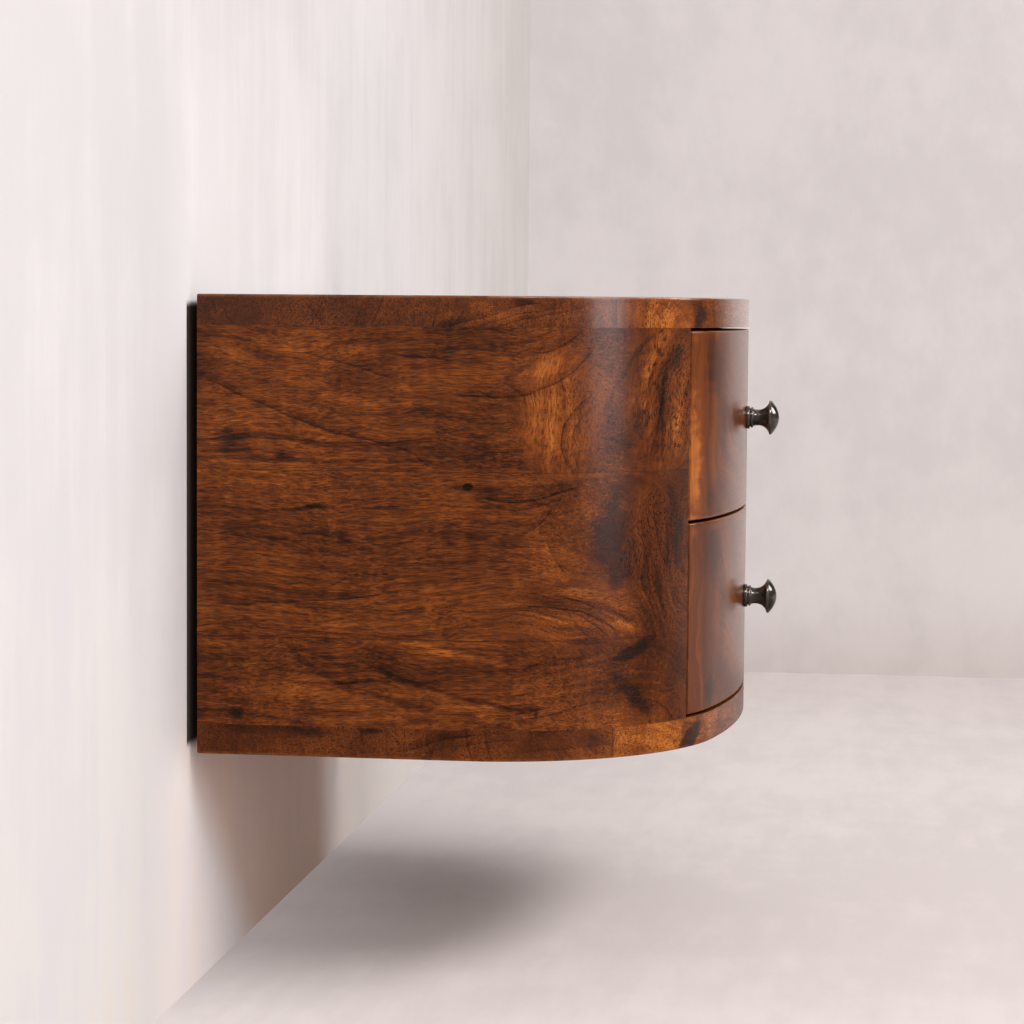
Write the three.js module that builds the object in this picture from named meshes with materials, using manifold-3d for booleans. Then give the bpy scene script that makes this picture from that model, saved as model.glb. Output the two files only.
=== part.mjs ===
// Wall-hung nightstand in solid wood: a case with rounded front corners and a
// bowed front, and two flush drawers on wooden runners. Millimetres, +Z up.
// The wall is the plane Y = 0 and the drawers open towards -Y. The origin is
// the middle of the wall bar's flat back face.
import * as THREE from "three";
import { mergeVertices } from "three/addons/utils/BufferGeometryUtils.js";
import Module from "manifold-3d";

// Case
const caseWidth = 500;
const caseHeight = 300;
const caseDepth = 342.5; // back edge to the middle of the bow
const bowRadius = 585;
const cornerRadius = 156;
const boardThickness = 20; // top and bottom boards
const wallThickness = 22; // sides, measured square to their curve
const sideReturn = 82.5; // case's side to the end of the curved side
const easedEdge = 1; // small chamfer on edges that a hand meets
const facetLength = 12; // longest straight step along a curve

// Inside the case
const backThickness = 12;
const backRebate = 10; // how far the back is let into each side
const panelThickness = 12; // runner panels
const hangingRailHeight = 60;
const hangingRailThickness = 18;
const midRailThickness = 18;
const topRailThickness = 12;
const crossRailWidth = 28;
const dowelDiameter = 8;
const dowelInBoard = 12;
const dowelInSide = 15;
const dowelPlaceShares = [0.14, 0.8]; // along the straight part of a side

// Drawers
const reveal = 2; // gap round each drawer front
const frontDifference = 2; // how much taller the lower front is
const frontThickness = 24; // at the ends and in the middle of the bow
const frontLand = 18; // flat stretch at each end of a front's inner face
const sideThickness = 14;
const sideLift = 10; // lower edge of the front to lower edge of the sides
const sideHeadroom = 14; // upper edge of the sides to upper edge of the upper front
const drawerRear = 40; // back of the case to the rear of the drawers
const drawerBackThickness = 14;
const bottomThickness = 6;
const bottomLift = 8; // lower edge of the sides to the bottom panel
const bottomHousing = 6; // depth of the grooves that hold the bottom panel
const railSetback = 32.4; // drawer fronts to the cross rails that stop the drawers

// Dovetails that join the drawer sides to the front and the back
const tailCount = 3;
const tailLength = 14;
const tailFlare = 2.4; // how much wider a tail grows on each side
const tailRootShare = 0.56; // tail width at its root, of the tail spacing

// Runners
const runnerHeight = 14;
const runnerOut = 8; // how far a runner stands out of its panel
const runnerBed = 4; // how deep it is let into the panel
const runnerPlay = 0.3;
const runnerRear = 22; // back of the case to the rear end of the runners
const runnerStop = 5; // drawer front to the closed end of the groove
const runnerScrewShares = [0.12, 0.86];

// Turn buttons behind the drawer backs
const buttonLength = 40;
const buttonWidth = 12;
const buttonThickness = 6;
const buttonRise = 11; // how far an upright button stands above the back

// Hanging bars
const barThickness = 2.6;
const barInset = 37.5; // edge of the drawer opening to each end of the bars
const barPlate = 22; // height of the screwed plate
const barLip = 9; // straight height of the hooked lip
const barHoleShares = [-0.4, 0, 0.4]; // case bar, of its length
const wallHoleShares = [-0.4, -0.14, 0.14, 0.4]; // wall bar, of its length
const bumperDiameter = 20;
const bumperInset = 45; // bumper centre to the case's side and bottom

// Knobs
const knobBaseDiameter = 16.6;
const knobBaseHeight = 2.6;
const knobCoveDiameter = 13.8;
const knobCoveHeight = 0.8;
const knobBeadDiameter = 15;
const knobBeadHeight = 1.6;
const knobNeckDiameter = 11.5;
const knobNeckHeight = 8.4; // face of the base to the middle of the neck
const knobHeadDiameter = 24.6;
const knobHeadHeight = 16.4; // face of the base to the rim of the head
const knobRim = 2;
const knobProjection = 23.6;
const knobBoreDepth = 13;

// Screws
const screwDiameter = 4;
const screwHeadDiameter = 8;
const screwHeadHeight = 2.6;
const screwTip = 4;
const runnerScrewLength = 16;
const caseBarScrewLength = 28;
const buttonScrewLength = 17;
const knobScrewDiameter = 4;
const knobScrewHeadDiameter = 9;
const knobScrewHeadHeight = 3;
const coneRimShare = 0.125; // upright rim of a countersunk head, of its height
const crownFlatShare = 0.5; // flat middle of a pan head, of its radius
const crownTurnShares = [0.875, 0.25]; // where its dome turns down, radius and drop
const crownSideShare = 0.6; // top of its upright side, of its height

// Clearances
const seatGap = 0.3; // where one piece rests on or in another
const barPlay = 0.3; // between the two hanging bars' layers
const holeGap = 0.3; // round a screw or dowel, at the radius
const cutOverrun = 2; // how far a cut runs past the face it opens

// Places that follow from the sizes
const halfCase = caseWidth / 2;
const halfOpening = halfCase - sideReturn;
const openingHeight = caseHeight - 2 * boardThickness;
const openingTop = boardThickness + openingHeight;
const standOff = 2 * barThickness + barPlay;
const innerHalf = halfCase - wallThickness;
const cornerX = halfCase - cornerRadius;
const bowY = bowRadius - caseDepth;
const arcDistance = bowRadius - cornerRadius;
const cornerY = bowY - Math.sqrt(arcDistance ** 2 - cornerX ** 2);
const turnAngle = Math.asin(cornerX / arcDistance);
const panelInner = halfOpening + panelThickness;
const innerCornerRadius = cornerRadius - wallThickness;
const panelFront = arcY(-panelInner, innerCornerRadius) + seatGap;
const upperFrontHeight = (openingHeight - 3 * reveal - frontDifference) / 2;
const lowerFrontHeight = upperFrontHeight + frontDifference;
const sideHeight = upperFrontHeight - sideLift - sideHeadroom;
const frontHalf = halfOpening - reveal;
const boxInner = frontHalf - sideThickness;
const landY = outlineY(frontHalf) + frontThickness;
const runnerBedEnd = arcY(halfOpening + runnerBed, innerCornerRadius) + seatGap;
const runnerFront = Math.max(landY + runnerStop, runnerBedEnd);
const drawerBackY = -drawerRear;
const railFront = landY + railSetback;
const railRear = railFront + crossRailWidth;
const barLength = 2 * (halfOpening - barInset);
const tailSpacing = sideHeight / tailCount;
const runnerBase = (sideHeight - runnerHeight) / 2;
const buttonPivotDrop = buttonLength / 2 - buttonRise;
const towardsFront = -Math.PI / 2;

// Colours
const stainedWood = new THREE.MeshStandardMaterial({ color: 0x6e3517, roughness: 0.38, metalness: 0 });
const plainWood = new THREE.MeshStandardMaterial({ color: 0xa9713f, roughness: 0.62, metalness: 0 });
const runnerWood = new THREE.MeshStandardMaterial({ color: 0xc39a66, roughness: 0.6, metalness: 0 });
const blackMetal = new THREE.MeshStandardMaterial({ color: 0x2b2724, roughness: 0.34, metalness: 0.9 });
const zincMetal = new THREE.MeshStandardMaterial({ color: 0xb9bcc0, roughness: 0.4, metalness: 0.9 });
const rubber = new THREE.MeshStandardMaterial({ color: 0x202022, roughness: 0.85, metalness: 0 });

const wasm = await Module();
wasm.setup();

// A closed geometry as a solid that can be cut and joined.
function solidOf(geometry) {
  const bare = geometry.clone();
  bare.deleteAttribute("normal");
  bare.deleteAttribute("uv");
  const merged = mergeVertices(bare, 1e-4);
  const vertProperties = new Float32Array(merged.attributes.position.array);
  const triVerts = new Uint32Array(merged.index.array);
  return new wasm.Manifold(new wasm.Mesh({ numProp: 3, vertProperties, triVerts }));
}

// A solid as a three.js geometry.
function geometryOf(solid) {
  const mesh = solid.getMesh();
  const geometry = new THREE.BufferGeometry();
  geometry.setAttribute("position", new THREE.BufferAttribute(mesh.vertProperties, 3));
  geometry.setIndex(new THREE.BufferAttribute(mesh.triVerts, 1));
  return geometry;
}

// The geometry with every tool taken out of it.
function cut(geometry, ...tools) {
  const start = solidOf(geometry);
  return geometryOf(tools.reduce((solid, tool) => solid.subtract(solidOf(tool)), start));
}

// The part of a geometry that lies inside another.
function common(geometry, other) {
  return geometryOf(solidOf(geometry).intersect(solidOf(other)));
}

// A board between two corners.
function board(low, high) {
  const size = new THREE.Vector3().subVectors(high, low);
  const middle = new THREE.Vector3().addVectors(low, high).multiplyScalar(1 / 2);
  return new THREE.BoxGeometry(size.x, size.y, size.z).translate(middle.x, middle.y, middle.z);
}

function at(x, y, z) {
  return new THREE.Vector3(x, y, z);
}

// A plan outline raised from z = low to z = high.
function raise(points, low, high, bevel = 0) {
  const geometry = new THREE.ExtrudeGeometry(new THREE.Shape(points), {
    depth: high - low - 2 * bevel,
    bevelEnabled: bevel > 0,
    bevelThickness: bevel,
    bevelSize: bevel,
    bevelOffset: -bevel,
    bevelSegments: 1,
  });
  return geometry.translate(0, 0, low + bevel);
}

// A profile drawn in (y, z) and run along x from low to high.
function runAlongX(points, low, high) {
  const geometry = raise(points, low, high);
  return geometry.applyMatrix4(new THREE.Matrix4().makeBasis(at(0, 1, 0), at(0, 0, 1), at(1, 0, 0)));
}

// A profile of (radius, height) points turned about an axis that points along +Z.
function turn(profile, sides) {
  return new THREE.LatheGeometry(profile, sides).rotateX(Math.PI / 2);
}

// A round bar along +Z that starts at the origin.
function rod(diameter, length, sides = 16) {
  const geometry = new THREE.CylinderGeometry(diameter / 2, diameter / 2, length, sides);
  return geometry.rotateX(Math.PI / 2).translate(0, 0, length / 2);
}

// Points along an arc from angle start to angle end, in steps of about facetLength.
function arc(centreX, centreY, radius, start, end) {
  const steps = Math.max(2, Math.ceil((Math.abs(end - start) * radius) / facetLength));
  return Array.from({ length: steps + 1 }, (_, i) => {
    const angle = start + ((end - start) * i) / steps;
    return new THREE.Vector2(centreX + radius * Math.cos(angle), centreY + radius * Math.sin(angle));
  });
}

// Where a circle about the corner's centre meets the line at distance x from the middle.
function arcY(x, radius) {
  return cornerY - Math.sqrt(radius ** 2 - (Math.abs(x) - cornerX) ** 2);
}

// Where the case's front edge lies at distance x from the middle.
function outlineY(x) {
  const onCorner = Math.abs(x) > bowRadius * Math.sin(turnAngle);
  return onCorner ? arcY(x, cornerRadius) : bowY - Math.sqrt(bowRadius ** 2 - x ** 2);
}

// The front edge of the plan from x = -reach to x = reach: corner, bow, corner.
function frontEdge(reach) {
  if (outlineY(reach) >= bowY - bowRadius * Math.cos(turnAngle)) {
    const start = Math.asin((reach - cornerX) / cornerRadius);
    const ends = [towardsFront - turnAngle, towardsFront + turnAngle];
    const left = arc(-cornerX, cornerY, cornerRadius, towardsFront - start, ends[0]);
    const bow = arc(0, bowY, bowRadius, ...ends);
    const right = arc(cornerX, cornerY, cornerRadius, ends[1], towardsFront + start);
    return [...left, ...bow.slice(1), ...right.slice(1)];
  }
  const swing = Math.asin(reach / bowRadius);
  return arc(0, bowY, bowRadius, towardsFront - swing, towardsFront + swing);
}

function mirrored(points) {
  return points.map((p) => new THREE.Vector2(-p.x, p.y)).reverse();
}

function points(...pairs) {
  return pairs.map(([x, y]) => new THREE.Vector2(x, y));
}

function piece(parent, name, geometry, material) {
  const mesh = new THREE.Mesh(geometry, material);
  mesh.name = name;
  parent.add(mesh);
  return mesh;
}

function group(parent, x, y, z) {
  const child = new THREE.Group();
  child.position.set(x, y, z);
  parent.add(child);
  return child;
}

// A screw along -Z with its head's top at the origin. A countersunk head is a
// cone, and a pan head is a low dome.
function screwProfile(length, diameter, headDiameter, headHeight, countersunk, tip) {
  const core = diameter / 2;
  const head = headDiameter / 2;
  const cone = points([head, 0], [head, -headHeight * coneRimShare]);
  const crown = countersunk ? cone : panCrown(head, headHeight);
  const shank = points([core, -headHeight], [core, tip - length], [core / 4, -length]);
  return [...points([0, 0]), ...crown, ...shank, ...points([0, -length])];
}

function panCrown(head, headHeight) {
  const [turnOut, turnDrop] = crownTurnShares;
  return points(
    [head * crownFlatShare, 0],
    [head * turnOut, -headHeight * turnDrop],
    [head, -headHeight * crownSideShare],
    [head, -headHeight],
  );
}

function screw(length, diameter, headDiameter, headHeight, countersunk, tip) {
  return turn(screwProfile(length, diameter, headDiameter, headHeight, countersunk, tip).reverse(), 12);
}

// The hole for a countersunk screw whose head's top lies at the origin.
function countersink(length) {
  const core = screwDiameter / 2 + holeGap;
  const head = screwHeadDiameter / 2 + holeGap;
  const rim = -screwHeadHeight * coneRimShare;
  const cone = points([0, cutOverrun], [head, cutOverrun], [head, rim], [core, -screwHeadHeight]);
  return turn([...cone, ...points([core, -length - holeGap], [0, -length - holeGap])].reverse(), 12);
}

// The whole object, with the case's own frame at its back lower edge
const nightstand = new THREE.Group();
const hangingRailLow = openingTop - hangingRailHeight;
const barStep = barThickness + barPlay;
const barLipTop = barPlate / 2 + barStep + barLip;
const caseBarScrewZ = barLipTop + barPlate / 2 + barThickness + seatGap;
const caseOrigin = hangingRailLow + hangingRailHeight / 2 - caseBarScrewZ;
const nightstandCase = group(nightstand, 0, -standOff, -caseOrigin);

// Dowel places, in plan, for the side on the given hand
function dowelPlaces(hand) {
  const middle = halfCase - wallThickness / 2;
  return dowelPlaceShares.map((share) => new THREE.Vector2(hand * middle, share * cornerY));
}

function dowelHoles(low, high) {
  return [-1, 1].flatMap((hand) =>
    dowelPlaces(hand).map((place) => rod(dowelDiameter + 2 * holeGap, high - low).translate(place.x, place.y, low)),
  );
}

// Top and bottom boards: the full plan, with its outer edge eased on one face
function slab(low, high, easedTop) {
  const plan = [...points([-halfCase, 0]), ...frontEdge(halfCase), ...points([halfCase, 0])];
  const spare = 2 * easedEdge;
  const geometry = raise(plan, easedTop ? low - spare : low, easedTop ? high : high + spare, easedEdge);
  const keep = board(at(-caseWidth, -2 * caseDepth, low), at(caseWidth, caseDepth, high));
  return common(geometry, keep);
}

const topHoles = dowelHoles(openingTop - cutOverrun, openingTop + dowelInBoard + holeGap);
const bottomHoles = dowelHoles(boardThickness - dowelInBoard - holeGap, boardThickness + cutOverrun);
piece(nightstandCase, "top_board", cut(slab(openingTop, caseHeight, true), ...topHoles), stainedWood);
piece(nightstandCase, "bottom_board", cut(slab(0, boardThickness, false), ...bottomHoles), stainedWood);

// Curved sides: straight at the back, then an even wall round the corner that
// ends square to the drawers, with a rebate for the back panel
function sidePlan() {
  const outerEnd = Math.asin((halfOpening - cornerX) / cornerRadius);
  const innerEnd = Math.asin((halfOpening - cornerX) / innerCornerRadius);
  const outer = arc(-cornerX, cornerY, cornerRadius, -Math.PI, towardsFront - outerEnd);
  const inner = arc(-cornerX, cornerY, innerCornerRadius, towardsFront - innerEnd, -Math.PI);
  const rebate = points(
    [-innerHalf, -backThickness],
    [-innerHalf - backRebate, -backThickness],
    [-innerHalf - backRebate, 0],
  );
  return [...points([-halfCase, 0]), ...outer, ...inner, ...rebate];
}

for (const [hand, name] of [[-1, "left"], [1, "right"]]) {
  const plan = hand < 0 ? sidePlan() : mirrored(sidePlan());
  const upper = dowelHoles(openingTop - dowelInSide - holeGap, openingTop + cutOverrun);
  const lower = dowelHoles(boardThickness - cutOverrun, boardThickness + dowelInSide + holeGap);
  const side = cut(raise(plan, boardThickness, openingTop), ...upper, ...lower);
  piece(nightstandCase, name + "_side", side, stainedWood);
  for (const [i, place] of dowelPlaces(hand).entries()) {
    const dowel = rod(dowelDiameter, dowelInBoard + dowelInSide);
    const words = i === 0 ? "rear" : "front";
    const topDowel = piece(nightstandCase, `${name}_${words}_top_dowel`, dowel, plainWood);
    topDowel.position.set(place.x, place.y, openingTop - dowelInSide);
    const lowDowel = piece(nightstandCase, `${name}_${words}_bottom_dowel`, dowel, plainWood);
    lowDowel.position.set(place.x, place.y, boardThickness - dowelInBoard);
  }
}

// Back panel and hanging rail, bored for the case bar's screws
const backHalf = innerHalf + backRebate - seatGap;
const barScrewBores = barHoleShares.map((share) => {
  const bore = rod(screwDiameter + 2 * holeGap, caseBarScrewLength + cutOverrun + holeGap);
  return bore.rotateX(Math.PI / 2).translate(share * barLength, cutOverrun, caseOrigin + caseBarScrewZ);
});
const backPanel = board(at(-backHalf, seatGap - backThickness, boardThickness), at(backHalf, 0, openingTop));
piece(nightstandCase, "back_panel", cut(backPanel, ...barScrewBores), stainedWood);
const railLow = at(-halfOpening, -backThickness - hangingRailThickness, hangingRailLow);
const railHigh = at(halfOpening, -backThickness, openingTop);
piece(nightstandCase, "hanging_rail", cut(board(railLow, railHigh), ...barScrewBores), plainWood);

// Runner panels, cross rails and runners. The mid rail lies between the two
// drawer boxes and the top rail above the upper one, out of the drawers' way.
const lowerFrontZ = boardThickness + reveal;
const upperFrontZ = lowerFrontZ + lowerFrontHeight + reveal;
const lowerBoxTop = lowerFrontZ + sideLift + sideHeight;
const midRailMiddle = (lowerBoxTop + upperFrontZ + sideLift) / 2;
function crossRail(low, high) {
  return board(at(-halfOpening, railFront, low), at(halfOpening, railRear, high));
}
piece(nightstandCase, "top_rail", crossRail(openingTop - topRailThickness, openingTop), plainWood);
const midRail = crossRail(midRailMiddle - midRailThickness / 2, midRailMiddle + midRailThickness / 2);
piece(nightstandCase, "mid_rail", midRail, plainWood);

// Drawer levels, by the lower edge of each front
const levels = [
  { name: "lower", z: lowerFrontZ, height: lowerFrontHeight },
  { name: "upper", z: upperFrontZ, height: upperFrontHeight },
];
const runnerLength = -runnerRear - runnerFront;
for (const [hand, side] of [[-1, "left"], [1, "right"]]) {
  const beds = [];
  for (const level of levels) {
    const low = level.z + sideLift + runnerBase + runnerPlay;
    const high = low + runnerHeight - 2 * runnerPlay;
    const ends = [hand * (halfOpening + runnerBed), hand * (halfOpening - runnerOut)];
    const strip = board(at(Math.min(...ends), runnerFront, low), at(Math.max(...ends), -runnerRear, high));
    const screwZ = (low + high) / 2;
    const places = runnerScrewShares.map((share) => -runnerRear - share * runnerLength);
    const headX = halfOpening - runnerOut + seatGap;
    const holes = places.map((y) =>
      countersink(runnerScrewLength).rotateY((-hand * Math.PI) / 2).translate(hand * headX, y, screwZ),
    );
    piece(nightstandCase, `${level.name}_${side}_runner`, cut(strip, ...holes), runnerWood);
    const bedEnds = [hand * (halfOpening + runnerBed + seatGap), hand * (halfOpening - cutOverrun)];
    beds.push(
      board(
        at(Math.min(...bedEnds), runnerFront - cutOverrun, low - seatGap),
        at(Math.max(...bedEnds), -runnerRear + seatGap, high + seatGap),
      ),
      ...holes,
    );
    for (const [i, y] of places.entries()) {
      const body = screw(runnerScrewLength, screwDiameter, screwHeadDiameter, screwHeadHeight, true, screwTip);
      const fixing = piece(nightstandCase, `${level.name}_${side}_runner_screw_${i + 1}`, body, zincMetal);
      fixing.rotation.y = (-hand * Math.PI) / 2;
      fixing.position.set(hand * headX, y, screwZ);
    }
  }
  const xs = [hand * halfOpening, hand * panelInner];
  const low = at(Math.min(...xs), panelFront, boardThickness);
  const high = at(Math.max(...xs), -backThickness, openingTop);
  piece(nightstandCase, side + "_runner_panel", cut(board(low, high), ...beds), plainWood);
}

// Hanging bars: one Z profile, used upright on the wall and turned over on the case.
// Its plate lies in one layer and its lip in the next, which the other bar's plate shares.
const barProfile = points(
  [0, -barPlate / 2],
  [0, barPlate / 2],
  [-barStep, barPlate / 2 + barStep],
  [-barStep, barLipTop],
  [-barStep - barThickness, barLipTop],
  [-barStep - barThickness, barPlate / 2 + barStep - barThickness / 2],
  [-barThickness, barPlate / 2 - barThickness / 2],
  [-barThickness, -barPlate / 2],
);
const barBlank = runAlongX([...barProfile].reverse(), -barLength / 2, barLength / 2);
const wallHoles = wallHoleShares.map((share) => {
  const hole = rod(screwDiameter + 4 * holeGap, barThickness + 2 * cutOverrun);
  return hole.rotateX(Math.PI / 2).translate(share * barLength, cutOverrun, 0);
});
piece(nightstand, "wall_bar", cut(barBlank, ...wallHoles), zincMetal);
const caseBarBlank = barBlank.clone().rotateX(Math.PI).translate(0, -standOff, caseBarScrewZ);
const caseBarHoles = barHoleShares.map((share) => {
  const hole = countersink(caseBarScrewLength).rotateX(-Math.PI / 2);
  return hole.translate(share * barLength, barThickness - standOff - seatGap, caseBarScrewZ);
});
piece(nightstand, "case_bar", cut(caseBarBlank, ...caseBarHoles), zincMetal);
for (const [i, share] of barHoleShares.entries()) {
  const body = screw(caseBarScrewLength, screwDiameter, screwHeadDiameter, screwHeadHeight, true, screwTip);
  const fixing = piece(nightstand, `case_bar_screw_${i + 1}`, body, zincMetal);
  fixing.rotation.x = -Math.PI / 2;
  fixing.position.set(share * barLength, barThickness - standOff - seatGap, caseBarScrewZ);
}

// Bumpers that keep the lower back edge as far from the wall as the bars do
for (const [hand, side] of [[-1, "left"], [1, "right"]]) {
  const bumper = piece(nightstand, side + "_bumper", rod(bumperDiameter, standOff, 24), rubber);
  bumper.rotation.x = Math.PI / 2;
  bumper.position.set(hand * (halfCase - bumperInset), 0, bumperInset - caseOrigin);
}

// Dovetails on the edge at y, pointing the way of dir along y, drawn in (y, z)
// from the lower edge up. Each tail widens towards its end.
function tail(y, dir, index, grow) {
  const middle = tailSpacing * (index + 1 / 2);
  const root = (tailSpacing * tailRootShare) / 2 + grow;
  const end = root + tailFlare;
  const far = y + dir * (tailLength + grow);
  return points([y, middle - root], [far, middle - end], [far, middle + end], [y, middle + root]);
}

// A drawer side: a board with tails at both ends, grooved outside for its
// runner and inside for the bottom panel
function drawerSide(hand) {
  const count = Array.from({ length: tailCount }, (_, i) => i);
  const rearRoot = drawerBackY - drawerBackThickness;
  const rearTails = count.flatMap((i) => tail(rearRoot, 1, i, 0));
  const frontTails = count.flatMap((i) => tail(landY, -1, i, 0)).reverse();
  const outline = [
    ...points([landY, 0], [rearRoot, 0]),
    ...rearTails,
    ...points([rearRoot, sideHeight], [landY, sideHeight]),
    ...frontTails,
  ];
  const xs = [hand * frontHalf, hand * boxInner];
  const blank = runAlongX(outline, Math.min(...xs), Math.max(...xs));
  const grooveDepth = runnerOut - reveal + runnerPlay;
  const groove = [hand * (frontHalf - grooveDepth), hand * (frontHalf + cutOverrun)];
  const runnerGroove = board(
    at(Math.min(...groove), runnerFront - seatGap, runnerBase),
    at(Math.max(...groove), cutOverrun, runnerBase + runnerHeight),
  );
  const slot = [hand * (boxInner + bottomHousing), hand * (boxInner - cutOverrun)];
  const bottomGroove = board(
    at(Math.min(...slot), landY, bottomLift - seatGap),
    at(Math.max(...slot), cutOverrun, bottomLift + bottomThickness + seatGap),
  );
  return cut(blank, runnerGroove, bottomGroove);
}

// The inner face of a front: flat lands at its ends and a bow between them
const bowHalf = frontHalf - frontLand;
const innerRise = landY - (frontThickness - caseDepth);
const innerBowRadius = (bowHalf ** 2 + innerRise ** 2) / (2 * innerRise);
const innerBowY = landY - innerRise + innerBowRadius;
function innerBow(half, radius) {
  const swing = Math.asin(half / radius);
  return arc(0, innerBowY, radius, towardsFront - swing, towardsFront + swing);
}

function drawerFrontPlan() {
  const outer = frontEdge(frontHalf);
  const inner = innerBow(bowHalf, innerBowRadius);
  return [...points([-frontHalf, landY]), ...outer, ...points([frontHalf, landY]), ...inner.reverse()];
}

// A bowed front with sockets for the tails, a groove for the bottom panel and
// a bore for the knob's screw
function drawerFront(height) {
  const blank = raise(drawerFrontPlan(), 0, height, easedEdge);
  const sockets = [-1, 1].flatMap((hand) =>
    Array.from({ length: tailCount }, (_, i) => {
      const xs = [hand * (frontHalf + cutOverrun), hand * (boxInner - seatGap)];
      const shape = tail(landY, -1, i, seatGap);
      shape[0].x += cutOverrun;
      shape[3].x += cutOverrun;
      return runAlongX(shape.reverse(), Math.min(...xs), Math.max(...xs)).translate(0, 0, sideLift);
    }),
  );
  const grooveLow = sideLift + bottomLift - seatGap;
  const grooveHigh = sideLift + bottomLift + bottomThickness + seatGap;
  const groove = raise(bottomPlan(seatGap), grooveLow, grooveHigh);
  const bore = rod(knobScrewDiameter + 2 * holeGap, caseDepth).rotateX(Math.PI / 2);
  return cut(blank, ...sockets, groove, bore.translate(0, landY + cutOverrun, height / 2));
}

// The bottom panel: held in the sides' grooves, with a bowed tongue in the front's groove
function bottomPlan(grow) {
  const half = boxInner + bottomHousing - 2 * seatGap + grow;
  const tongue = innerBow(boxInner - frontLand / 2 + grow, innerBowRadius + bottomHousing - seatGap + grow);
  const shoulder = landY + seatGap;
  const first = tongue[0];
  return [
    ...points([-half, drawerBackY], [-half, shoulder], [first.x, shoulder]),
    ...tongue,
    ...points([-first.x, shoulder], [half, shoulder], [half, drawerBackY]),
  ];
}

// A drawer back with sockets right through it for the sides' rear tails
function drawerBack() {
  const low = bottomLift + bottomThickness + seatGap;
  const rearRoot = drawerBackY - drawerBackThickness;
  const blank = board(at(-frontHalf, rearRoot, low), at(frontHalf, drawerBackY, sideHeight));
  const sockets = [-1, 1].flatMap((hand) =>
    Array.from({ length: tailCount }, (_, i) => {
      const xs = [hand * (frontHalf + cutOverrun), hand * (boxInner - seatGap)];
      const shape = tail(rearRoot, 1, i, seatGap);
      shape[0].x -= cutOverrun;
      shape[3].x -= cutOverrun;
      shape[1].x += cutOverrun;
      shape[2].x += cutOverrun;
      return runAlongX(shape, Math.min(...xs), Math.max(...xs));
    }),
  );
  const pilot = rod(screwDiameter + 2 * holeGap, drawerBackThickness - seatGap);
  const pivot = pilot.rotateX(Math.PI / 2).translate(0, drawerBackY + seatGap, sideHeight - buttonPivotDrop);
  return cut(blank, ...sockets, pivot);
}

// A turned knob along +Z from its base: base disc, cove, bead, waisted neck,
// flared head with a round rim and a domed face, bored for its screw
function knob() {
  const bead = knobBaseHeight + knobCoveHeight;
  const beadTop = bead + knobBeadHeight;
  const base = knobBaseDiameter / 2;
  const head = knobHeadDiameter / 2;
  const neck = knobNeckDiameter / 2;
  const edge = knobRim / 4;
  const path = new THREE.Path();
  const bore = knobScrewDiameter / 2 + holeGap;
  path.moveTo(bore, knobBoreDepth);
  path.lineTo(bore, 0);
  path.lineTo(base - edge, 0);
  path.quadraticCurveTo(base, 0, base, edge);
  path.lineTo(base, knobBaseHeight - edge);
  path.quadraticCurveTo(base, knobBaseHeight, knobCoveDiameter / 2, knobBaseHeight);
  path.lineTo(knobCoveDiameter / 2, bead);
  path.quadraticCurveTo(knobBeadDiameter / 2, bead, knobBeadDiameter / 2, (bead + beadTop) / 2);
  path.quadraticCurveTo(knobBeadDiameter / 2, beadTop, knobCoveDiameter / 2, beadTop);
  path.quadraticCurveTo(neck, beadTop, neck, knobNeckHeight);
  path.quadraticCurveTo(neck, knobHeadHeight - knobRim, head - edge, knobHeadHeight);
  path.quadraticCurveTo(head, knobHeadHeight, head, knobHeadHeight + knobRim / 2);
  path.quadraticCurveTo(head, knobHeadHeight + knobRim, head - edge, knobHeadHeight + knobRim);
  path.quadraticCurveTo(head / 2, knobProjection, 0, knobProjection);
  const profile = [...points([0, knobBoreDepth]), ...path.getPoints(4)];
  return turn(profile, 28);
}

// A turn button: a small wooden bar with round ends, bored in the middle
function turnButton() {
  const end = buttonWidth / 2;
  const reach = buttonLength / 2 - end;
  const shape = new THREE.Shape();
  shape.absarc(0, reach, end, 0, Math.PI, false);
  shape.absarc(0, -reach, end, Math.PI, 2 * Math.PI, false);
  const blank = new THREE.ExtrudeGeometry(shape, { depth: buttonThickness, bevelEnabled: false, curveSegments: 5 });
  const bore = rod(screwDiameter + 2 * holeGap, buttonThickness + 2 * cutOverrun);
  return cut(blank, bore.translate(0, 0, -cutOverrun)).rotateX(Math.PI / 2);
}

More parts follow.
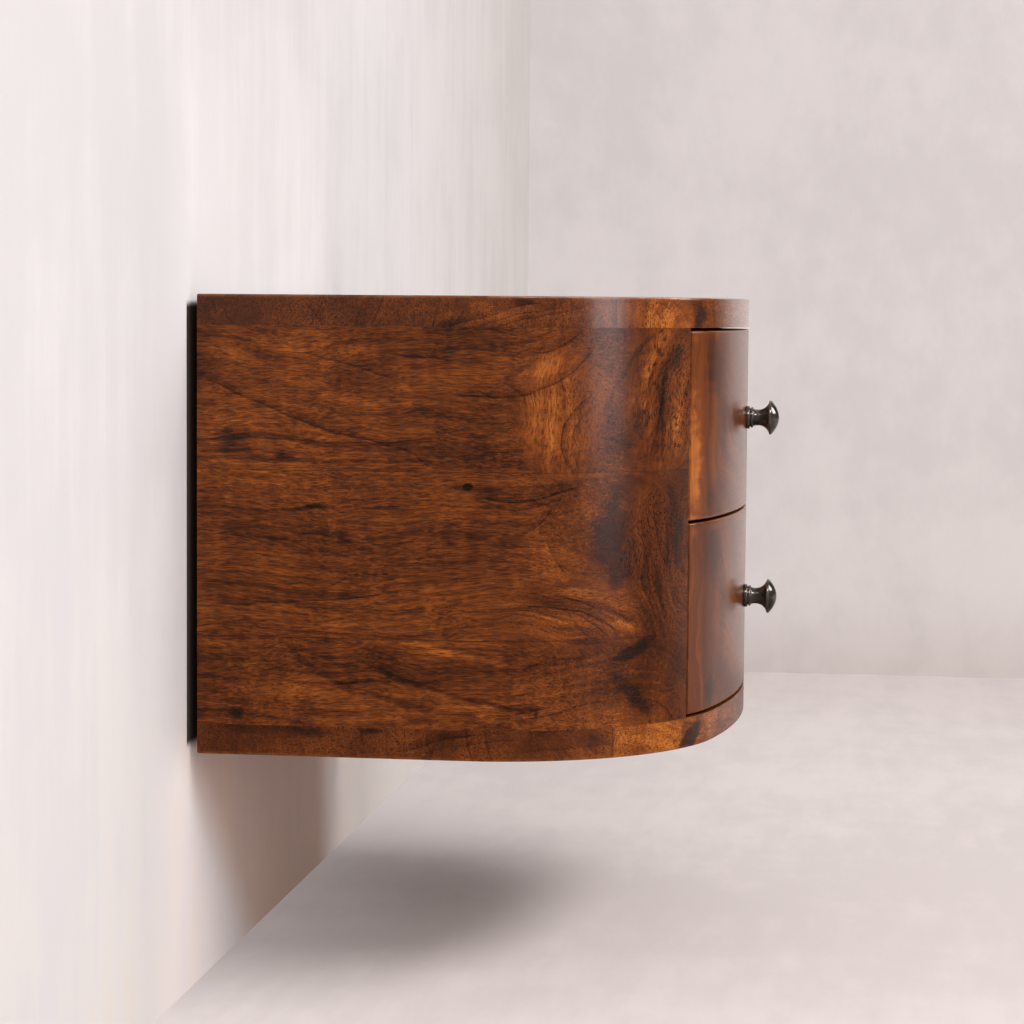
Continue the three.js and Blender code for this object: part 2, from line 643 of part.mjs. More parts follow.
// The two drawers, each with the lower edge of its front at its own zero
for (const level of levels) {
  const drawer = group(nightstandCase, 0, 0, level.z);
  piece(drawer, level.name + "_drawer_front", drawerFront(level.height), stainedWood);
  const box = group(drawer, 0, 0, sideLift);
  piece(box, level.name + "_drawer_left_side", drawerSide(-1), plainWood);
  piece(box, level.name + "_drawer_right_side", drawerSide(1), plainWood);
  piece(box, level.name + "_drawer_back", drawerBack(), plainWood);
  const bottom = raise(bottomPlan(0), bottomLift, bottomLift + bottomThickness);
  piece(box, level.name + "_drawer_bottom", bottom, plainWood);

  const handle = piece(drawer, level.name + "_knob", knob(), blackMetal);
  handle.rotation.x = Math.PI / 2;
  handle.position.set(0, -caseDepth, level.height / 2);
  const boltHead = knobScrewHeadHeight + seatGap;
  const boltLength = boltHead + frontThickness + knobBoreDepth - seatGap - holeGap;
  const body = screw(boltLength, knobScrewDiameter, knobScrewHeadDiameter, knobScrewHeadHeight, false, 0);
  const bolt = piece(drawer, level.name + "_knob_screw", body, zincMetal);
  bolt.rotation.x = -Math.PI / 2;
  bolt.position.set(0, frontThickness - caseDepth + boltHead, level.height / 2);

  const buttonY = drawerBackY + seatGap;
  const pivotZ = sideHeight - buttonPivotDrop;
  const button = piece(box, level.name + "_turn_button", turnButton(), runnerWood);
  button.position.set(0, buttonY + buttonThickness, pivotZ);
  const pivotHead = buttonThickness + screwHeadHeight + 2 * seatGap;
  const pivotBody = screw(buttonScrewLength, screwDiameter, screwHeadDiameter, screwHeadHeight, false, screwTip);
  const pivot = piece(box, level.name + "_turn_button_screw", pivotBody, zincMetal);
  pivot.rotation.x = -Math.PI / 2;
  pivot.position.set(0, drawerBackY + pivotHead, pivotZ);
}

export default nightstand;
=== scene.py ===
"""Looks of a wall-hung nightstand with rounded corners, a bowed front and two drawers.

Metres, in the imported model's frame: the wall is the plane Y = 0, the drawers
open towards -Y, +Z is up and the origin is the middle of the wall bar's back.
"""

import logging
import math
from collections.abc import Iterable, Mapping, Sequence
from dataclasses import dataclass, replace
from enum import Enum

import bmesh
import bpy
from mathutils import Matrix, Vector


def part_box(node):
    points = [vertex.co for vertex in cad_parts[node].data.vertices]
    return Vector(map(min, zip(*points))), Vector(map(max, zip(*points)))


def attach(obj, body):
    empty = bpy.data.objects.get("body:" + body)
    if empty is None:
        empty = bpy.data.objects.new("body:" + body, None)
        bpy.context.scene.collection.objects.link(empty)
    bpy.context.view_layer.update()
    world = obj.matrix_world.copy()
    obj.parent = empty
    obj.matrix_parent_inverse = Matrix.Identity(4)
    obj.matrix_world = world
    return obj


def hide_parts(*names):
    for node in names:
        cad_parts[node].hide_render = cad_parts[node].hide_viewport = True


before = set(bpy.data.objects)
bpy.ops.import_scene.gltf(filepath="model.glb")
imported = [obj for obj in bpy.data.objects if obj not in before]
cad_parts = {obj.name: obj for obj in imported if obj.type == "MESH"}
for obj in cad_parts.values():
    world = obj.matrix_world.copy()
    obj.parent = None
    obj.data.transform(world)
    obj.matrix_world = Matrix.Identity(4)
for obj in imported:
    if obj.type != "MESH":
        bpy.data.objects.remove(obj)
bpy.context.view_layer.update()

MM = 0.001
FINE_STEP = 1.6 * MM  # longest straight step along a curve
LONG_STEP = 12 * MM  # longest step along a straight side
OVERRUN = 2 * MM  # how far a cutter stands out of what it cuts
WELD = 0.002 * MM  # points closer than this are one
FLAT_ANGLE = math.radians(1)  # faces that differ by less are one
BEVEL_ANGLE = math.radians(35)  # edges that turn by more are rounded
SHARP_ANGLE = math.radians(33)  # edges that turn by more are shaded as sharp
QUARTER = math.pi / 2
DOWN = -math.pi / 2  # towards -Y in the plan

Colour = tuple[float, float, float]
Socket = bpy.types.NodeSocket
Feed = Socket | float | Sequence[float]

log = logging.getLogger("nightstand")


# Node trees


class Tree:
    """A node tree that is filled from code."""

    def __init__(self, tree: bpy.types.NodeTree) -> None:
        """Takes the tree to fill.

        Args:
            tree: A shader or geometry node tree.
        """
        self.tree = tree

    def add(
        self,
        kind: str,
        inputs: Mapping[str | int, Feed] | None = None,
        **settings: object,
    ) -> bpy.types.Node:
        """Adds a node.

        Args:
            kind: The node's type, as Blender names it.
            inputs: What each input, by name or place, is set to or joined to.
            **settings: The node's own properties.

        Returns:
            The node.
        """
        node = self.tree.nodes.new(kind)
        column, row = divmod(len(self.tree.nodes), 8)
        node.location = (column * 220, -row * 190)
        for name, value in settings.items():
            setattr(node, name, value)
        for key, value in (inputs or {}).items():
            self.feed(node.inputs[key], value)
        return node

    def feed(self, socket: Socket, value: Feed) -> None:
        """Joins a socket to an output, or sets its value.

        Args:
            socket: The input to fill.
            value: An output socket, a number or a list of numbers.
        """
        if isinstance(value, Socket):
            self.tree.links.new(value, socket)
        else:
            socket.default_value = value

    def math(self, operation: str, *values: Feed, clamp: bool = False) -> Socket:
        """Works out one number.

        Args:
            operation: The Math node's operation.
            *values: Its operands.
            clamp: Whether the result stays between 0 and 1.

        Returns:
            The result's socket.
        """
        node = self.add("ShaderNodeMath", dict(enumerate(values)), operation=operation)
        node.use_clamp = clamp
        return node.outputs[0]

    def vector(self, operation: str, *values: Feed, output: int = 0) -> Socket:
        """Works out one vector, or a number from vectors.

        Args:
            operation: The Vector Math node's operation.
            *values: Its operands.
            output: 0 for the vector and 1 for the number.

        Returns:
            The result's socket.
        """
        node = self.add("ShaderNodeVectorMath", dict(enumerate(values)), operation=operation)
        return node.outputs[output]

    def centred(self, value: Feed) -> Socket:
        """Returns a value that goes from 0 to 1, moved to go from -0.5 to 0.5."""
        return self.math("SUBTRACT", value, 0.5)

    def product(self, first: Feed, *others: Feed) -> Feed:
        """Returns all the values multiplied by each other."""
        for value in others:
            first = self.math("MULTIPLY", first, value)
        return first

    def parts(self, point: Feed) -> bpy.types.NodeOutputs:
        """Returns the sockets with a point's X, Y and Z."""
        return self.add("ShaderNodeSeparateXYZ", {0: point}).outputs

    def joined(self, x: Feed, y: Feed, z: Feed = 0.0) -> Socket:
        """Returns the point that three numbers make."""
        return self.add("ShaderNodeCombineXYZ", {0: x, 1: y, 2: z}).outputs[0]

    def scaled(self, point: Feed, scales: Sequence[float]) -> Socket:
        """Returns the point with each axis multiplied by its own scale."""
        return self.vector("MULTIPLY", point, tuple(scales))

    def span(self, value: Feed, low: Feed, high: Feed, soft: bool = True) -> Socket:
        """Maps low to 0 and high to 1.

        Args:
            value: The number that is mapped.
            low: Where the result is 0.
            high: Where the result is 1.
            soft: Whether it eases in and out.

        Returns:
            The result's socket, between 0 and 1.
        """
        node = self.add("ShaderNodeMapRange", {0: value, 1: low, 2: high})
        node.interpolation_type = "SMOOTHSTEP" if soft else "LINEAR"
        node.clamp = not soft  # a smooth step keeps to its range by itself
        return node.outputs[0]

    def noise(
        self,
        point: Feed,
        detail: float = 2.0,
        roughness: float = 0.5,
        shift: Feed = 0.0,
    ) -> Socket:
        """A cloudy value between 0 and 1.

        Args:
            point: Where it is read, already scaled.
            detail: How many finer layers it has.
            roughness: How strong they are.
            shift: Another value gives another cloud.

        Returns:
            The value's socket.
        """
        inputs = {"Vector": point, "W": shift, "Scale": 1.0, "Detail": detail, "Roughness": roughness}
        return self.add("ShaderNodeTexNoise", inputs, noise_dimensions="4D").outputs[0]

    def fluted(self, value: Feed, detail: float, scale: float = 1.0, roughness: float = 0.5) -> Socket:
        """A value between 0 and 1 that wanders along one number.

        Args:
            value: The number.
            detail: How many finer layers it has.
            scale: How fast it wanders.
            roughness: How strong the finer layers are.

        Returns:
            The value's socket.
        """
        inputs = {"W": value, "Scale": scale, "Detail": detail, "Roughness": roughness}
        return self.add("ShaderNodeTexNoise", inputs, noise_dimensions="1D").outputs[0]

    def relief(self, shader: bpy.types.Node, height: Feed, strength: float, depth: float) -> None:
        """Gives a surface shader a fine relief.

        Args:
            shader: The surface shader.
            height: The relief's height, from 0 to 1.
            strength: How much of it shows.
            depth: What a height of 1 is in metres.
        """
        bump = self.add("ShaderNodeBump", {"Height": height, "Strength": strength, "Distance": depth})
        self.feed(shader.inputs["Normal"], bump.outputs[0])

    def blend(self, factor: Feed, first: Feed, second: Feed, mode: str = "MIX") -> Socket:
        """Mixes two colours.

        Args:
            factor: 0 gives the first and 1 the second.
            first: The colour underneath.
            second: The colour on top.
            mode: How they mix.

        Returns:
            The colour's socket.
        """
        node = self.add("ShaderNodeMix", data_type="RGBA", blend_type=mode)
        for place, value in ((0, factor), (6, first), (7, second)):
            self.feed(node.inputs[place], opaque(value) if place else value)
        return node.outputs[2]

    def mixed(self, factor: Feed, first: Socket, second: Socket) -> Socket:
        """Returns the mix of two shaders, where a factor of 0 gives the first."""
        return self.add("ShaderNodeMixShader", {0: factor, 1: first, 2: second}).outputs[0]

    def ramp(self, factor: Feed, stops: Sequence[tuple[float, Colour]]) -> Socket:
        """Turns a number into a colour.

        Args:
            factor: The number, from 0 to 1.
            stops: Places along the ramp and their colours.

        Returns:
            The colour's socket.
        """
        node = self.add("ShaderNodeValToRGB", {0: factor})
        elements = node.color_ramp.elements
        while len(elements) < len(stops):
            elements.new(0.5)
        for element, (place, colour) in zip(elements, stops):
            element.position = place
            element.color = opaque(colour)
        return node.outputs[0]


def new_socket(
    group: bpy.types.NodeTree,
    label: str,
    way: str,
    kind: str,
) -> bpy.types.NodeTreeInterfaceSocket:
    """Gives a node group a socket.

    Args:
        group: The group.
        label: The socket's name.
        way: "INPUT" or "OUTPUT".
        kind: The socket's type, as Blender names it.

    Returns:
        The socket.
    """
    return group.interface.new_socket(name=label, in_out=way, socket_type=kind)


def emptied(owner: bpy.types.Material | bpy.types.World) -> Tree:
    """Gives a material or world an empty node tree, and returns the tree."""
    owner.use_nodes = True
    owner.node_tree.nodes.clear()
    return Tree(owner.node_tree)


def opaque(value: Feed) -> Feed:
    """Returns a colour of three numbers with its fourth, and anything else as it is."""
    is_colour = not isinstance(value, (Socket, float)) and len(value) == 3
    return (*value, 1.0) if is_colour else value


class SocketKind(Enum):
    """The kinds of socket that the shader groups use."""

    NUMBER = "NodeSocketFloat"
    VECTOR = "NodeSocketVector"


NUMBER, VECTOR = SocketKind.NUMBER, SocketKind.VECTOR
ORIGIN = (0.0, 0.0, 0.0)


class Effect:
    """A shader node group that several finishes share."""

    def __init__(
        self,
        name: str,
        inputs: Mapping[str, float | Sequence[float]],
        outputs: Mapping[str, SocketKind],
    ) -> None:
        """Starts an empty group.

        Args:
            name: The group's name.
            inputs: The number or vector that each input starts with.
            outputs: Each output's kind.
        """
        self.group = bpy.data.node_groups.new(name, "ShaderNodeTree")
        for label, value in inputs.items():
            kind = NUMBER if isinstance(value, float) else VECTOR
            new_socket(self.group, label, "INPUT", kind.value).default_value = value
        for label, kind in outputs.items():
            new_socket(self.group, label, "OUTPUT", kind.value)
        self.tree = Tree(self.group)
        self.source = self.tree.add("NodeGroupInput")
        self.sink = self.tree.add("NodeGroupOutput")

    def give(self, label: str, value: Feed) -> None:
        """Sends a value out of the group.

        Args:
            label: The output's name.
            value: What it carries.
        """
        self.tree.feed(self.sink.inputs[label], value)

    def place(self, tree: Tree, inputs: Mapping[str, Feed]) -> bpy.types.Node:
        """Puts the group into a finish.

        Args:
            tree: The finish's tree.
            inputs: The values of this use.

        Returns:
            The group's node.
        """
        node = tree.add("ShaderNodeGroup", node_tree=self.group)
        for label, value in inputs.items():
            tree.feed(node.inputs[label], value)
        return node


def grain_swirl() -> Effect:
    """Builds the slow bends that rings and fibres share, for grain along Y.

    Returns:
        The effect, with the bent place.
    """
    effect = Effect(
        "Grain swirl",
        {"Point": ORIGIN, "Amount": 0.02, "Seed": 0.0},
        {"Point": VECTOR},
    )
    tree, given = effect.tree, effect.source.outputs
    total: Feed = given["Point"]
    layers = (((8, 6, 8), 1.5, 1.9), ((34, 20, 34), 1.0, 0.26), ((130, 50, 130), 1.0, 0.05))
    for scales, detail, share in layers:
        value = tree.noise(tree.scaled(given["Point"], scales), detail, shift=given["Seed"])
        cloud = tree.vector("SUBTRACT", value.node.outputs["Color"], (0.5, 0.5, 0.5))
        bend = tree.vector("SCALE", tree.scaled(cloud, (share, 0.0, share)))
        tree.feed(bend.node.inputs["Scale"], given["Amount"])
        total = tree.vector("ADD", total, bend)
    effect.give("Point", total)
    return effect


def growth_rings() -> Effect:
    """Builds the rings of a trunk that is centred on a line along Y.

    Returns:
        The effect, with the tone of the rings and their thin dark late wood.
    """
    effect = Effect(
        "Growth rings",
        {"Point": ORIGIN, "Heart": ORIGIN, "Ring Width": 0.006},
        {"Tone": NUMBER, "Late Wood": NUMBER},
    )
    tree, given = effect.tree, effect.source.outputs
    from_heart = tree.vector("SUBTRACT", given["Point"], given["Heart"])
    radius = tree.vector("LENGTH", tree.scaled(from_heart, (1, 0, 1)), output=1)
    turns = tree.math("DIVIDE", radius, given["Ring Width"])
    wide = tree.fluted(turns, 5.0, 0.5, 0.7)
    fine = tree.fluted(turns, 1.0, 1.3)
    effect.give("Tone", tree.span(wide, 0.26, 0.74, soft=False))
    effect.give("Late Wood", tree.span(fine, 0.64, 0.73))
    return effect


def fibres() -> Effect:
    """Builds fibres and open pores that run along Y.

    Returns:
        The effect, with the fibres' tone, the pores' mask and the curl across the grain.
    """
    effect = Effect(
        "Fibres",
        {"Point": ORIGIN, "Seed": 0.0},
        {"Tone": NUMBER, "Pores": NUMBER, "Curl": NUMBER},
    )
    tree, given = effect.tree, effect.source.outputs
    point, seed = given["Point"], given["Seed"]
    streaks = tree.noise(tree.scaled(point, (400, 15, 400)), 2.0, 0.6, seed)
    dashes = tree.noise(tree.scaled(point, (1400, 120, 1400)), 1.0, 0.6, seed)
    tone = tree.math("MULTIPLY_ADD", streaks, 0.45, tree.math("MULTIPLY", dashes, 0.55))
    effect.give("Tone", tree.span(tone, 0.33, 0.65))
    pores = tree.noise(tree.scaled(point, (1450, 150, 1450)), 0.0, 0.5, tree.math("ADD", seed, 7.0))
    effect.give("Pores", tree.span(pores, 0.52, 0.66))
    curl = tree.noise(tree.scaled(point, (26, 120, 26)), 1.5, 0.5, tree.math("ADD", seed, 3.0))
    effect.give("Curl", tree.span(curl, 0.3, 0.7))
    return effect


def plank_rows() -> Effect:
    """Builds the glue joints of boards laid side by side along an axis.

    Returns:
        The effect, with each plank's number, its own offset and tone, and the joints' mask.
    """
    effect = Effect(
        "Plank rows",
        {
            "Across": 0.0,
            "First Joint": -0.1,
            "Plank Width": 0.1,
            "Seed": 0.0,
        },
        {"Number": NUMBER, "Own Shift": VECTOR, "Own Tone": NUMBER, "Joint": NUMBER},
    )
    tree, given = effect.tree, effect.source.outputs
    from_joint = tree.math("SUBTRACT", given["Across"], given["First Joint"])
    planks = tree.math("DIVIDE", from_joint, given["Plank Width"])
    place = tree.math("FLOOR", planks)
    number = tree.math("ADD", place, given["Seed"])
    own = tree.add("ShaderNodeTexWhiteNoise", {"W": number}, noise_dimensions="1D")
    effect.give("Number", place)
    effect.give("Own Shift", own.outputs["Color"])
    effect.give("Own Tone", own.outputs["Value"])
    nearest = tree.math("ABSOLUTE", tree.math("SUBTRACT", planks, tree.math("ROUND", planks)))
    gap = tree.math("MULTIPLY", nearest, given["Plank Width"])
    effect.give("Joint", tree.span(gap, 0.0005, 0.0001))
    return effect


def unrolled_side() -> Effect:
    """Builds a flat plan of a curved side's outer face.

    Returns:
        The effect, with the millimetres forward from the case's back and up from the bar.
    """
    effect = Effect(
        "Unrolled side",
        {
            "Point": ORIGIN,
            "Corner X": 0.094,
            "Corner Y": -0.1816,
            "Radius": 0.156,
            "Back": -0.0055,
        },
        {"Plan": VECTOR},
    )
    tree, given = effect.tree, effect.source.outputs
    place = tree.parts(given["Point"])
    outwards = tree.math("SUBTRACT", tree.math("ABSOLUTE", place["X"]), given["Corner X"])
    ahead = tree.math("MAXIMUM", tree.math("SUBTRACT", given["Corner Y"], place["Y"]), 0.0)
    bend = tree.math("MULTIPLY", tree.math("ARCTAN2", ahead, outwards), given["Radius"])
    flat = tree.math("SUBTRACT", given["Back"], tree.math("MAXIMUM", place["Y"], given["Corner Y"]))
    plan = tree.joined(tree.math("ADD", flat, bend), place["Z"])
    effect.give("Plan", tree.scaled(plan, (1 / MM, 1 / MM, 0)))
    return effect


def wood_mark() -> Effect:
    """Builds one knot, smudge or flare with a ragged outline, on a flat plan.

    Returns:
        The effect, with the totals of tone and grey that it adds itself to.
    """
    effect = Effect(
        "Wood mark",
        {
            "Plan": ORIGIN,
            "Centre": ORIGIN,
            "Along": (1, 0, 0),
            "Across": (0, 1, 0),
            "Softness": 0.5,
            "Ragged": 0.0,
            "Tone": 0.0,
            "Grey": 0.0,
            "Total Tone": 0.0,
            "Total Grey": 0.0,
        },
        {"Total Tone": NUMBER, "Total Grey": NUMBER},
    )
    tree, given = effect.tree, effect.source.outputs
    away = tree.vector("SUBTRACT", given["Plan"], given["Centre"])
    along = tree.vector("DOT_PRODUCT", away, given["Along"], output=1)
    across = tree.vector("DOT_PRODUCT", away, given["Across"], output=1)
    distance = tree.vector("LENGTH", tree.joined(along, across), output=1)
    ragged = tree.math("MULTIPLY_ADD", given["Ragged"], given["Softness"], distance)
    mask = tree.span(ragged, 1.0, tree.math("SUBTRACT", 1.0, given["Softness"]))
    for total, share in (("Total Tone", "Tone"), ("Total Grey", "Grey")):
        effect.give(total, tree.math("MULTIPLY_ADD", mask, given[share], given[total]))
    return effect


def wood_line() -> Effect:
    """Builds one sagging line of grain that fades at both ends, on a flat plan.

    Returns:
        The effect, with the total of tone that it adds itself to.
    """
    effect = Effect(
        "Wood line",
        {
            "Plan": ORIGIN,
            "Start": ORIGIN,
            "Along": (1, 0, 0),
            "Across": (0, 1, 0),
            "Sag": 0.0,
            "Width": 1.0,
            "Wobble": 0.0,
            "Tone": 0.0,
            "Total Tone": 0.0,
        },
        {"Total Tone": NUMBER},
    )
    tree, given = effect.tree, effect.source.outputs
    away = tree.vector("SUBTRACT", given["Plan"], given["Start"])
    along = tree.vector("DOT_PRODUCT", away, given["Along"], output=1)
    across = tree.vector("DOT_PRODUCT", away, given["Across"], output=1)
    bow = tree.math("MULTIPLY", along, tree.math("SUBTRACT", 1.0, along))
    curve = tree.product(bow, given["Sag"], 4.0)
    off = tree.math("ADD", tree.math("SUBTRACT", across, curve), given["Wobble"])
    shade = tree.span(off, tree.math("MULTIPLY", given["Width"], 6.0), 0.0)
    shade = tree.product(shade, tree.math("GREATER_THAN", off, 0.0), 0.42)
    core = tree.span(tree.math("ABSOLUTE", off), given["Width"], 0.0)
    mask = tree.product(tree.math("MAXIMUM", core, shade), tree.span(bow, 0.0, 0.12))
    effect.give("Total Tone", tree.math("MULTIPLY_ADD", mask, given["Tone"], given["Total Tone"]))
    return effect


def curled_grain() -> Effect:
    """Builds grain that curls round a centre on a flat plan, inside an oval region.

    Returns:
        The effect, with the place on the ramp and the pores, both changed in its region.
    """
    effect = Effect(
        "Curled grain",
        {
            "Plan": ORIGIN,
            "Centre": ORIGIN,
            "Stretch": (1, 1, 0),
            "Region": ORIGIN,
            "Reach": (0.02, 0.02, 0),
            "Seed": 0.0,
            "Lowest": 0.1,
            "Contrast": 0.8,
            "Share": 1.0,
            "Factor": 0.5,
            "Pores": 0.0,
        },
        {"Factor": NUMBER, "Pores": NUMBER},
    )
    tree, given = effect.tree, effect.source.outputs
    plan, seed = given["Plan"], given["Seed"]
    away = tree.vector("MULTIPLY", tree.vector("SUBTRACT", plan, given["Centre"]), given["Stretch"])
    parts = tree.parts(away)
    radius = tree.vector("LENGTH", away, output=1)
    for scale, reach in ((0.022, 26.0), (0.09, 5.0)):
        bend = tree.noise(tree.scaled(plan, (scale, scale, 0)), 2.0, 0.5, seed)
        radius = tree.math("MULTIPLY_ADD", tree.centred(bend), reach, radius)
    arc_length = tree.math("MULTIPLY", tree.math("ARCTAN2", parts["Y"], parts["X"]), 60.0)
    curled = tree.joined(radius, arc_length)
    broad = tree.noise(tree.scaled(curled, (0.085, 0.012, 0)), 4.0, 0.6, seed)
    streaks = tree.noise(tree.scaled(curled, (0.55, 0.03, 0)), 2.0, 0.6, seed)
    tone = tree.math("MULTIPLY_ADD", broad, 0.68, tree.math("MULTIPLY", streaks, 0.32))
    tone = tree.span(tone, 0.34, 0.66, soft=False)
    tone = tree.math("MULTIPLY_ADD", tone, given["Contrast"], given["Lowest"])
    pores = tree.noise(tree.scaled(curled, (1.1, 0.55, 0)), 0.0, 0.5, seed)
    pores = tree.span(pores, 0.5, 0.64)
    outwards = tree.vector("MULTIPLY", tree.vector("SUBTRACT", plan, given["Region"]), given["Reach"])
    ragged = tree.noise(tree.scaled(plan, (0.05, 0.05, 0)), 3.0, 0.6, tree.math("ADD", seed, 4.0))
    edge = tree.vector("LENGTH", outwards, output=1)
    edge = tree.math("MULTIPLY_ADD", tree.centred(ragged), 0.9, edge)
    mask = tree.product(tree.span(edge, 1.1, 0.6), given["Share"])
    for name, curled_value in (("Factor", tone), ("Pores", pores)):
        change = tree.math("SUBTRACT", curled_value, given[name])
        effect.give(name, tree.math("MULTIPLY_ADD", change, mask, given[name]))
    return effect


def rubbed_edge() -> Effect:
    """Builds the uneven wear along eased edges from a piece's wear attribute.

    Returns:
        The effect, with the wear's mask.
    """
    effect = Effect(
        "Rubbed edge",
        {"Point": ORIGIN, "Amount": 0.5, "Seed": 0.0},
        {"Mask": NUMBER},
    )
    tree, given = effect.tree, effect.source.outputs
    edge = tree.add("ShaderNodeAttribute", attribute_name="wear").outputs["Fac"]
    uneven = tree.noise(tree.scaled(given["Point"], (90, 90, 90)), 4.0, 0.6, given["Seed"])
    worn = tree.math("MULTIPLY", edge, tree.span(uneven, 0.3, 0.62))
    effect.give("Mask", tree.math("MULTIPLY", worn, given["Amount"], clamp=True))
    return effect


class Effects:
    """The shader groups, each built once."""

    def __init__(self) -> None:
        """Builds every group."""
        self.swirl = grain_swirl()
        self.rings = growth_rings()
        self.fibres = fibres()
        self.planks = plank_rows()
        self.unrolled = unrolled_side()
        self.mark = wood_mark()
        self.line = wood_line()
        self.curl = curled_grain()
        self.rubbed = rubbed_edge()


# Finishes


class MarkPlan(Enum):
    """Which flat plan a piece's marks are drawn on."""

    SIDE = "side"
    FRONT = "front"


@dataclass(frozen=True)
class Mark:
    """A knot, smudge or flare on a flat plan, in millimetres.

    The tone is how much lighter (above 0) or darker (below 0) the wood gets, and
    grey how much of the dark heart's colour shows.
    """

    centre: tuple[float, float]
    reach: tuple[float, float]
    tone: float
    turn: float = 0.0
    softness: float = 0.6
    grey: float = 0.0

    def inputs(self) -> dict[str, Feed]:
        """Returns what the Wood mark group needs."""
        cos, sin = math.cos(math.radians(self.turn)), math.sin(math.radians(self.turn))
        long, wide = self.reach
        return {
            "Centre": (*self.centre, 0.0),
            "Along": (cos / long, sin / long, 0.0),
            "Across": (-sin / wide, cos / wide, 0.0),
            "Softness": self.softness,
            "Tone": self.tone,
            "Grey": self.grey,
        }


@dataclass(frozen=True)
class Line:
    """A line of grain on a flat plan, in millimetres, whose middle sags to its left."""

    start: tuple[float, float]
    end: tuple[float, float]
    sag: float = 0.0
    width: float = 1.1
    tone: float = -0.32

    def inputs(self) -> dict[str, Feed]:
        """Returns what the Wood line group needs."""
        run = Vector(self.end) - Vector(self.start)
        way = run.normalized()
        return {
            "Start": (*self.start, 0.0),
            "Along": (way.x / run.length, way.y / run.length, 0.0),
            "Across": (-way.y, way.x, 0.0),
            "Sag": self.sag,
            "Width": self.width,
            "Tone": self.tone,
        }


@dataclass(frozen=True)
class Curl:
    """Grain that curls round a centre, inside an oval region of a flat plan, in millimetres.

    The stretch narrows the curls along each axis, the level is the region's place on
    the wood's ramp and the contrast how far its grain goes to either side of that.
    """

    centre: tuple[float, float]
    region: tuple[float, float]
    reach: tuple[float, float]
    stretch: tuple[float, float] = (1.0, 1.0)
    level: float = 0.5
    contrast: float = 0.8
    seed: float = 1.0

    def inputs(self) -> dict[str, Feed]:
        """Returns what the Curled grain group needs.

        Returns:
            The values, with the seam of the curls turned away from their region.
        """
        facing = -1.0 if self.region[0] < self.centre[0] else 1.0
        return {
            "Centre": (*self.centre, 0.0),
            "Stretch": (facing * self.stretch[0], self.stretch[1], 0.0),
            "Region": (*self.region, 0.0),
            "Reach": (1 / self.reach[0], 1 / self.reach[1], 0.0),
            "Seed": self.seed,
            "Lowest": self.level - self.contrast / 2,
            "Contrast": self.contrast,
        }


ALONG = ORIGIN  # the grain's turn for pieces that lie from back to front
ACROSS = (0.0, 0.0, QUARTER)  # and for pieces that lie from side to side
FLAT_ACROSS = (QUARTER, 0.0, QUARTER)  # the same, with one plank behind another
UPRIGHT = (QUARTER, 0.0, 0.0)  # and for pieces that stand
NO_JOINT = {"first_joint": -1.0, "width": 2.0}  # one plank wider than any piece


@dataclass(frozen=True)
class Planks:
    """How a piece's planks lie, in turned axes: grain along Y and one plank above another along Z.

    Each heart is the middle of one plank's trunk, from the lowest plank, and spread
    moves it by the plank's own random shift.
    """

    turn: tuple[float, float, float] = ALONG
    first_joint: float = -0.1
    width: float = 0.1
    hearts: tuple[tuple[float, float, float], ...] = ((-0.19, 0.0, 0.0),)
    spread: float = 0.06
    seed: float = 1.0


@dataclass(frozen=True)
class WoodTones:
    """A wood's colours from its darkest line to its lightest grain, and its gloss."""

    ramp: tuple[tuple[float, Colour], ...]
    pore: Colour
    heart: Colour
    rubbed: Colour
    roughness: float
    lacquer: float
    relief: float


STAINED = WoodTones(
    ramp=(
        (0.0, (0.011, 0.003, 0.001)),
        (0.25, (0.048, 0.0105, 0.002)),
        (0.5, (0.12, 0.0268, 0.0038)),
        (0.75, (0.226, 0.0545, 0.006)),
        (1.0, (0.43, 0.124, 0.016)),
    ),
    pore=(0.014, 0.0036, 0.0012),
    heart=(0.045, 0.018, 0.013),
    rubbed=(0.3, 0.1, 0.025),
    roughness=0.3,
    lacquer=0.2,
    relief=0.13,
)

PLAIN = WoodTones(
    ramp=(
        (0.0, (0.14, 0.062, 0.026)),
        (0.35, (0.27, 0.135, 0.06)),
        (0.7, (0.4, 0.22, 0.105)),
        (1.0, (0.52, 0.32, 0.165)),
    ),
    pore=(0.13, 0.06, 0.026),
    heart=(0.13, 0.06, 0.028),
    rubbed=(0.55, 0.36, 0.2),
    roughness=0.5,
    lacquer=0.05,
    relief=0.12,
)

RUNNER = WoodTones(
    ramp=(
        (0.0, (0.3, 0.175, 0.08)),
        (0.4, (0.47, 0.3, 0.155)),
        (0.75, (0.6, 0.42, 0.235)),
        (1.0, (0.7, 0.53, 0.33)),
    ),
    pore=(0.28, 0.16, 0.075),
    heart=(0.25, 0.14, 0.07),
    rubbed=(0.7, 0.54, 0.36),
    roughness=0.5,
    lacquer=0.05,
    relief=0.2,
)


JOINT_SHADE = 0.45  # how much of the pores' colour a glue joint shows
EDGE_WEAR = 0.6  # how rubbed the wood's eased edges are
COAT_ROUGHNESS = 0.16  # of the lacquer
SPECULAR = 0.4  # strength of the gloss under the lacquer
GRAIN_DEPTH = 0.1 * MM  # height of the wood's relief
GRIT_DEPTH = 0.05 * MM  # height of the metals' and the rubber's


